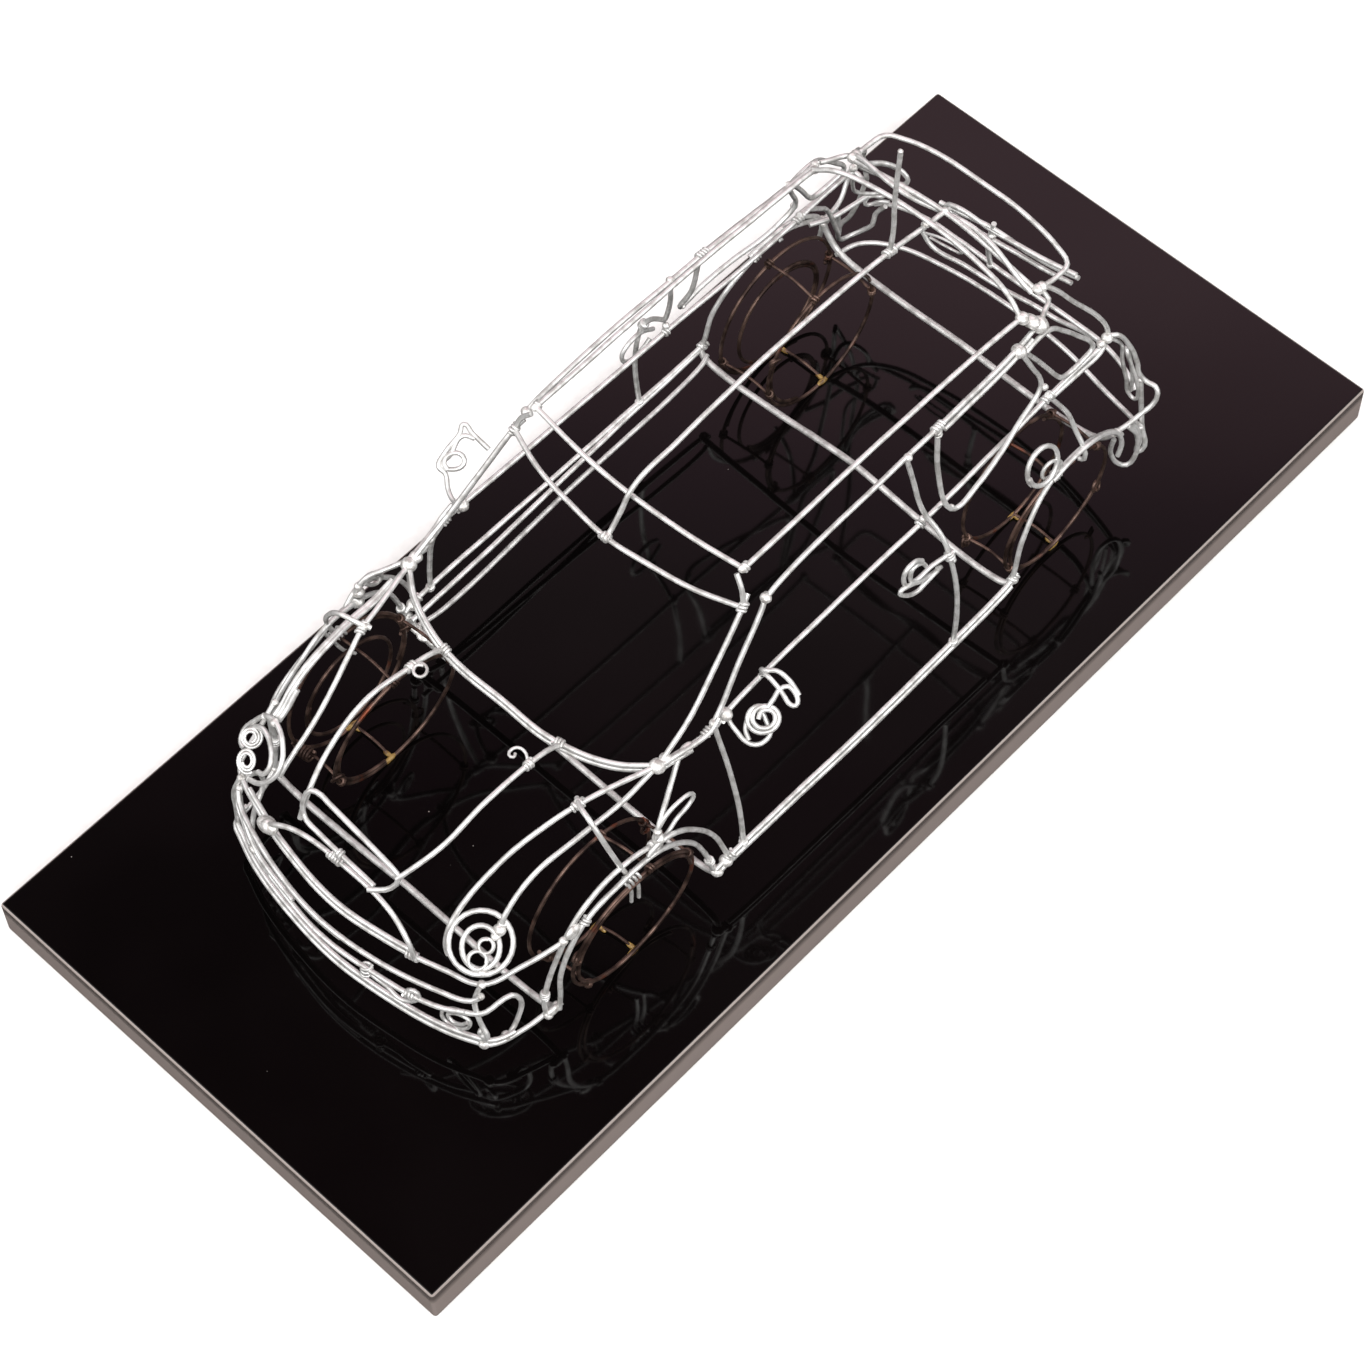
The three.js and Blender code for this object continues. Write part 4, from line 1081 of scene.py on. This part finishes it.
def makeRoof(spec, solderAt):
    def both(key):
        return [bent(sided(sign, spec[key])) for side, sign in sides]

    cowl, lower, upper = across(spec["cowl"]), across(spec["headerLower"]), across(spec["headerUpper"])
    centre, top = spec["centre"], across(spec["tailgateTop"])
    wirePiece("cowl_wire", [bent(cowl), beside(cowl, offset=(0, -0.4, -1.4), start=0.02, end=0.98),
                            wrapOn(cowl, (19.3, -70.9, 57.8)), wrapOn(cowl, (-19.3, -70.9, 57.8))],
              "cowl", lumps=solderAt["cowl"])
    wirePiece("header_lower_wire", [bent(lower), wrapOn(lower, (0, -34.6, 85))] + both("link"), "header_lower",
              lumps=solderAt["headerLower"])
    wirePiece("header_upper_wire", [bent(upper)], "header_upper", lumps=solderAt["headerUpper"])
    antenna = (bent(spec["antenna"]), antennaGauge)
    wirePiece("roof_centre_wire", [bent(centre), antenna, wrapOn(centre, (0, 64, 98.4), 4)], "roof_centre",
              lumps=solderAt["centre"])
    wirePiece("roof_rear_wire", [bent(across(spec["roofRear"]))], "roof_rear")
    twisted = [bent(top), beside(top, offset=(0, 0.9, 1.0), twist=0.22)]
    wirePiece("tailgate_top_wire", twisted + both("rearLink"), "tailgate_top", lumps=solderAt["tailgateTop"])
    wirePiece("spoiler_wire", [bent(across(spec["spoiler"]))], "spoiler")


makeRoof(roofSpec, roofSolder)
print("stage: bonnet and roof done")

# tail
tailSpec = {
    "bumperUpper": [(0, 116.3, 37), (20, 116.5, 37), (31, 116, 37), (42, 113, 36), (44.4, 111.8, 35)],
    "bumperSecond": [
        (-29.4, 113.4, 35.6), (-25.6, 113.5, 31.8), (-15, 114.5, 31.8), (-2.8, 115.5, 31.6),
        (7.5, 116.5, 32.4), (14.2, 117, 32.4), (21.7, 117, 34.6), (29.6, 116, 37.6),
    ],
    "bumperLower": [
        (-43.6, 96, 29), (-42.4, 103.4, 27.6), (-36.6, 109, 27), (-20, 113.6, 27), (0, 115.2, 27),
        (20, 114.4, 27), (36, 111.2, 27), (49.6, 107.4, 29.4), (51, 106.4, 30.4),
    ],
    "plateBar": [
        (19.6, 113.6, 55.9), (12, 113.4, 54.4), (1, 112.8, 53.6), (-2.5, 112.5, 53.4), (-18, 111, 54.6),
        (-20, 110.8, 56), (-18, 111, 57.6), (-5, 112.3, 56.8), (3.8, 113, 57.2), (11.6, 113.4, 58.2),
        (20.6, 113.8, 60),
    ],
    "plateStrand": [
        (-22, 111, 55.4), (-14.2, 111.5, 56.6), (-5.2, 112.5, 57.4), (4.1, 113.5, 56), (14.9, 113.8, 57.4),
        (21.4, 113.8, 59.4),
    ],
    "plateStem": [(-8, 116.2, 36.6), (-7.7, 114, 46), (-6.6, 112.8, 53), (-5.4, 112.4, 59.6)],
    "plateLoop": [
        (-27.4, 112.8, 36.4), (-22, 113, 38.6), (-16.6, 113.6, 38.4), (-15.8, 113.8, 37.2),
        (-20.3, 113.4, 36), (-26, 113, 35.6),
    ],
    "lamp": [
        (40.8, 100.2, 66), (42.2, 102.8, 65.6), (44.4, 106, 60), (45.6, 108.6, 51.6), (46.4, 110.2, 44.6),
        (48.5, 110.8, 43.2), (50.6, 111, 43.4), (51.9, 110.5, 42), (52, 109, 39.3), (50.9, 105.8, 37.2),
        (50.2, 101.5, 36.4), (49.9, 97.6, 37),
    ],
    "lampInner_left": [
        (41, 100.4, 66), (42.8, 104.4, 61), (42.6, 106.4, 52), (43.2, 108.8, 41.6), (44.4, 109.8, 34.8),
        (45.8, 110, 34.4), (46.6, 109.8, 38.4), (46, 109.2, 43.2), (44.8, 107.4, 51), (44, 105.6, 59),
        (44.2, 107.2, 53.6), (44.7, 109, 44), (44.2, 110, 36.8),
    ],
    "lampInner_right": [
        (40.8, 98, 63.6), (43.1, 101, 53.6), (44, 104, 47.5), (42.1, 108, 44.6), (40.7, 111, 43.3),
        (41.9, 112, 39.8), (44.2, 109, 40.6), (44.6, 108, 38.6), (44.5, 109, 36.9), (41.9, 111, 38.8),
        (39.6, 112, 39.4),
    ],
    "post": [
        (46.6, 110.2, 43), (48.5, 109.5, 33.3), (50.3, 108.5, 27.3), (52.4, 107.5, 22.7),
        (51.6, 106.2, 20.8), (51.7, 106, 26.1), (50.9, 104, 33.6), (50.6, 101.4, 36),
    ],
    "hook_left": [
        (50.6, 101.2, 36.2), (51.8, 103.6, 31.8), (52.2, 104.6, 25.9), (52, 104.4, 21.3), (50.8, 103, 17.4),
        (49.4, 101, 18.7), (48.4, 99, 23.4), (48.8, 97.6, 28.6), (49.8, 97, 34),
    ],
    "hook_right": [
        (42, 82.6, 61.9), (43, 88.8, 55.6), (44.5, 92.4, 50.6), (45.6, 96, 42.9), (46.9, 100, 32.1),
        (48, 103, 25), (47.7, 106, 24), (45, 109, 26.4), (43.4, 110, 28.7), (43.5, 111, 31.8),
        (40.9, 112, 36.6),
    ],
    "ribbon": [
        (41.6, 99.8, 65), (42, 105.3, 59.6), (40, 110, 57), (36.6, 113, 53.7), (34.8, 113.2, 51.8),
        (36.2, 112.8, 49), (39.5, 110, 51.8), (42, 105.5, 56.6), (41.8, 99.6, 64.4),
    ],
    "sideStrand": [(48.8, 91, 41.6), (46.5, 97, 41.1), (45.6, 103, 40.7), (44.2, 108.6, 41.4)],
}


tailSolder = {
    "bumperUpper": [(29.8, 116, 37.2, 1.2), (-29.6, 114.6, 36.4, 1.2)],
    "bumperLower": [(-43.4, 97, 28.8, 1.4), (50.6, 106.8, 30, 1.3)],
    "plate": [(-5.8, 112.6, 54.2, 1.5), (-7.7, 113.6, 47.8, 1.3), (-8, 116, 37, 1.4)],
    "lamp": [(41.2, 100.4, 65.8, 2.0), (46.4, 110.2, 43.4, 1.3)],
}


def makeTail(spec, solderAt):
    band = [bent(across(spec["bumperUpper"])), bent(spec["bumperSecond"]), (bent(spec["plateLoop"]), wrapGauge)]
    wirePiece("bumper_rear_upper_wire", band, "bumper_rear_upper", lumps=solderAt["bumperUpper"])
    wirePiece("bumper_rear_lower_wire", [bent(spec["bumperLower"])], "bumper_rear_lower",
              lumps=solderAt["bumperLower"])
    stem = spec["plateStem"]
    plate = [bent(spec["plateBar"]), (bent(spec["plateStrand"]), plateGauge), (bent(stem), plateGauge),
             wrapOn(stem, (-6.8, 113, 52), gauge=thinGauge)]
    wirePiece("plate_bar_wire", plate, "plate_bar", lumps=solderAt["plate"])
    for side, sign in sides:
        lamp = [sided(sign, spec[key]) for key in ("lamp", "lampInner_" + side, "post", "hook_" + side)]
        runs = [bent(points) for points in lamp]
        runs[1] = (runs[1], lampGauge)
        if side == "right":
            ribbon = sided(sign, spec["ribbon"])
            runs += [bent(sided(sign, spec["sideStrand"])), bent(ribbon),
                     beside(ribbon, offset=(-0.4, 0.6, -1.2), start=0.04, end=0.44)]
        wirePiece("tail_lamp_wire_" + side, runs, "tail_lamp_" + side, lumps=sided(sign, solderAt["lamp"]))


makeTail(tailSpec, tailSolder)

fillerSpec = {
    "ring": {"centre": (49.4, 67.7, 53.2), "normal": (9, 0, 3), "outer": 5.4, "inner": 5.2, "turns": 1.08,
             "begin": 4.2},
    "tongue": [
        (50.6, 72.6, 47.6), (50.2, 69.6, 47), (50, 67.6, 48.6), (49.8, 67.4, 51.4), (49.8, 69.2, 52.8),
        (50, 72, 51.6), (50.3, 74, 48.8), (50.4, 73.4, 46.6),
    ],
    "tie": {"centre": (50.2, 73, 45.4), "heading": (-0.1, 0.9, 0.2), "turns": 2, "reach": 1.1, "pitch": 1.0},
    "solder": [(50.4, 71, 47.4, 1.2)],
}


def makeFiller(spec):
    tongue = (bent(spec["tongue"], step=0.8), thinGauge)
    wirePiece("filler_cap_wire", [curl(**spec["ring"]), tongue, (helix(**spec["tie"]), wrapGauge)],
              "filler_cap", lumps=spec["solder"])


makeFiller(fillerSpec)
print("stage: tail done")

# camera at the photograph's angle
cameraSpec = {
    "place": (343.97, -359.90, 816.88), "azimuth": 44.4553, "elevation": 58.9756, "roll": -1.4725,
    "focalPx": 3695.38, "framePx": 1370, "sensor": 36.0, "nearest": 0.01, "farthest": 20,
}


def makeCamera(spec):
    lens = bpy.data.cameras.new("viewCamera")
    lens.sensor_fit = "HORIZONTAL"
    lens.sensor_width = spec["sensor"]
    lens.lens = spec["focalPx"] * spec["sensor"] / spec["framePx"]
    lens.clip_start, lens.clip_end = spec["nearest"], spec["farthest"]
    camera = bpy.data.objects.new("viewCamera", lens)
    aim = Matrix.Rotation(math.radians(spec["azimuth"]), 4, "Z")
    tilt = Matrix.Rotation(math.radians(90 - spec["elevation"]), 4, "X")
    roll = Matrix.Rotation(math.radians(spec["roll"]), 4, "Z")
    camera.matrix_world = Matrix.Translation(Vector(spec["place"]) * mm) @ (aim @ tilt @ roll)
    bpy.context.scene.collection.objects.link(camera)
    bpy.context.scene.camera = camera


makeCamera(cameraSpec)

# plain pale floor and soft studio light
floorLook = {"pale": "#f6f5f3", "grey": "#f0efed", "toothMm": 3.0, "toothEdge": (0.3, 0.7), "rough": 0.9,
             "size": 8.0, "drop": 0.0004}


def makeFloor(look):
    bpy.ops.object.select_all(action="DESELECT")
    bpy.ops.mesh.primitive_plane_add(size=look["size"], location=(0, 0, -look["drop"]))
    floor = bpy.context.view_layer.objects.active
    floor.name = "studio_floor"
    bpy.ops.object.transform_apply(location=True)
    paper, tree, place = freshMaterial("whiteBackgroundPaper")  # matt card, very slightly toothed
    tooth = addNode(tree, "ShaderNodeTexNoise", {
        "Vector": place, "Scale": perMm(look["toothMm"]), "Detail": 2.0})
    tint = addNode(tree, "ShaderNodeValToRGB", {"Fac": tooth.outputs["Fac"]},
                   between(look["toothEdge"], colour(look["grey"]), colour(look["pale"])))
    shader = addNode(tree, "ShaderNodeBsdfPrincipled", {
        "Base Color": tint.outputs["Color"], "Roughness": look["rough"]})
    closeMaterial(tree, shader)
    floor.data.materials.append(paper)
    floor.visible_glossy = False  # the paper is hidden from glossy rays, so the wires' undersides don't mirror it, as black card round the board would do


roomLook = {
    "strength": 1.4,
    "flagAim": (-0.361, 0.368, 0.857),  # the part of the room that the board mirrors is dim and warm
    "flagEdge": (0.78, 0.95),
    "flagSlope": (-0.75, 1.0, 0.0),  # it brightens towards the far left
    "flagShade": [
        (0.49, "#311c24"), (0.56, "#46383c"), (0.61, "#624b54"), (0.66, "#867377"), (0.7, "#a98896"),
        (0.725, "#d2a9b5"), (0.765, "#ffd0dd"),
    ],
    "roomShade": [(0.0, 0.025), (0.3, 0.15), (0.55, 1.0), (0.8, 1.5)],  # by height: dark low, bright above
}


def makeRoom(look):
    world = bpy.data.worlds.new("softStudio")
    world.use_nodes = True
    tree = world.node_tree
    tree.nodes.clear()
    way = addNode(tree, "ShaderNodeTexCoord").outputs["Generated"]
    split = addNode(tree, "ShaderNodeSeparateXYZ", {"Vector": way})
    aim = addNode(tree, "ShaderNodeVectorMath", {0: way, 1: look["flagAim"]}, operation="DOT_PRODUCT")
    clear = addNode(tree, "ShaderNodeValToRGB", {"Fac": aim.outputs["Value"]},
                    between(look["flagEdge"], grey(1.0), grey(0.0)))
    slope = addNode(tree, "ShaderNodeVectorMath", {0: way, 1: look["flagSlope"]}, operation="DOT_PRODUCT")
    dim = addNode(tree, "ShaderNodeValToRGB", {"Fac": slope.outputs["Value"]},
                  [(place, colour(shade)) for place, shade in look["flagShade"]])
    room = addNode(tree, "ShaderNodeValToRGB", {"Fac": split.outputs["Z"]},
                   [(place, grey(shade)) for place, shade in look["roomShade"]])
    mix = addNode(tree, "ShaderNodeMix", {
        0: clear.outputs["Color"], 6: dim.outputs["Color"], 7: room.outputs["Color"]}, data_type="RGBA")
    back = addNode(tree, "ShaderNodeBackground", {"Color": mix.outputs[2], "Strength": look["strength"]})
    addNode(tree, "ShaderNodeOutputWorld", {"Surface": back.outputs[0]})
    bpy.context.scene.world = world
    bpy.context.scene.view_settings.view_transform = "Standard"


# square soft boxes, all turned to the middle of the car; metres and watts
softBoxes = {
    "rightSoftBox": {"place": (1.7, 0.74, 0.78), "size": 0.9, "power": 7},
    "leftSoftBox": {"place": (-0.72, -1.7, 0.78), "size": 0.9, "power": 7},
    "frontSoftBox": {"place": (1.2, -1.1, 1.7), "size": 0.8, "power": 21},
}
lightTarget = (0, 0, 0.04)


def makeSoftBox(name, spec):
    light = bpy.data.lights.new(name, "AREA")
    light.shape = "SQUARE"
    light.size = spec["size"]
    light.energy = spec["power"]
    lamp = bpy.data.objects.new(name, light)
    lamp.location = spec["place"]
    lamp.rotation_euler = (Vector(lightTarget) - Vector(spec["place"])).to_track_quat("-Z", "Y").to_euler()
    bpy.context.scene.collection.objects.link(lamp)


makeFloor(floorLook)
makeRoom(roomLook)
for name, spec in softBoxes.items():
    makeSoftBox(name, spec)
print("stage: camera, floor and light done")
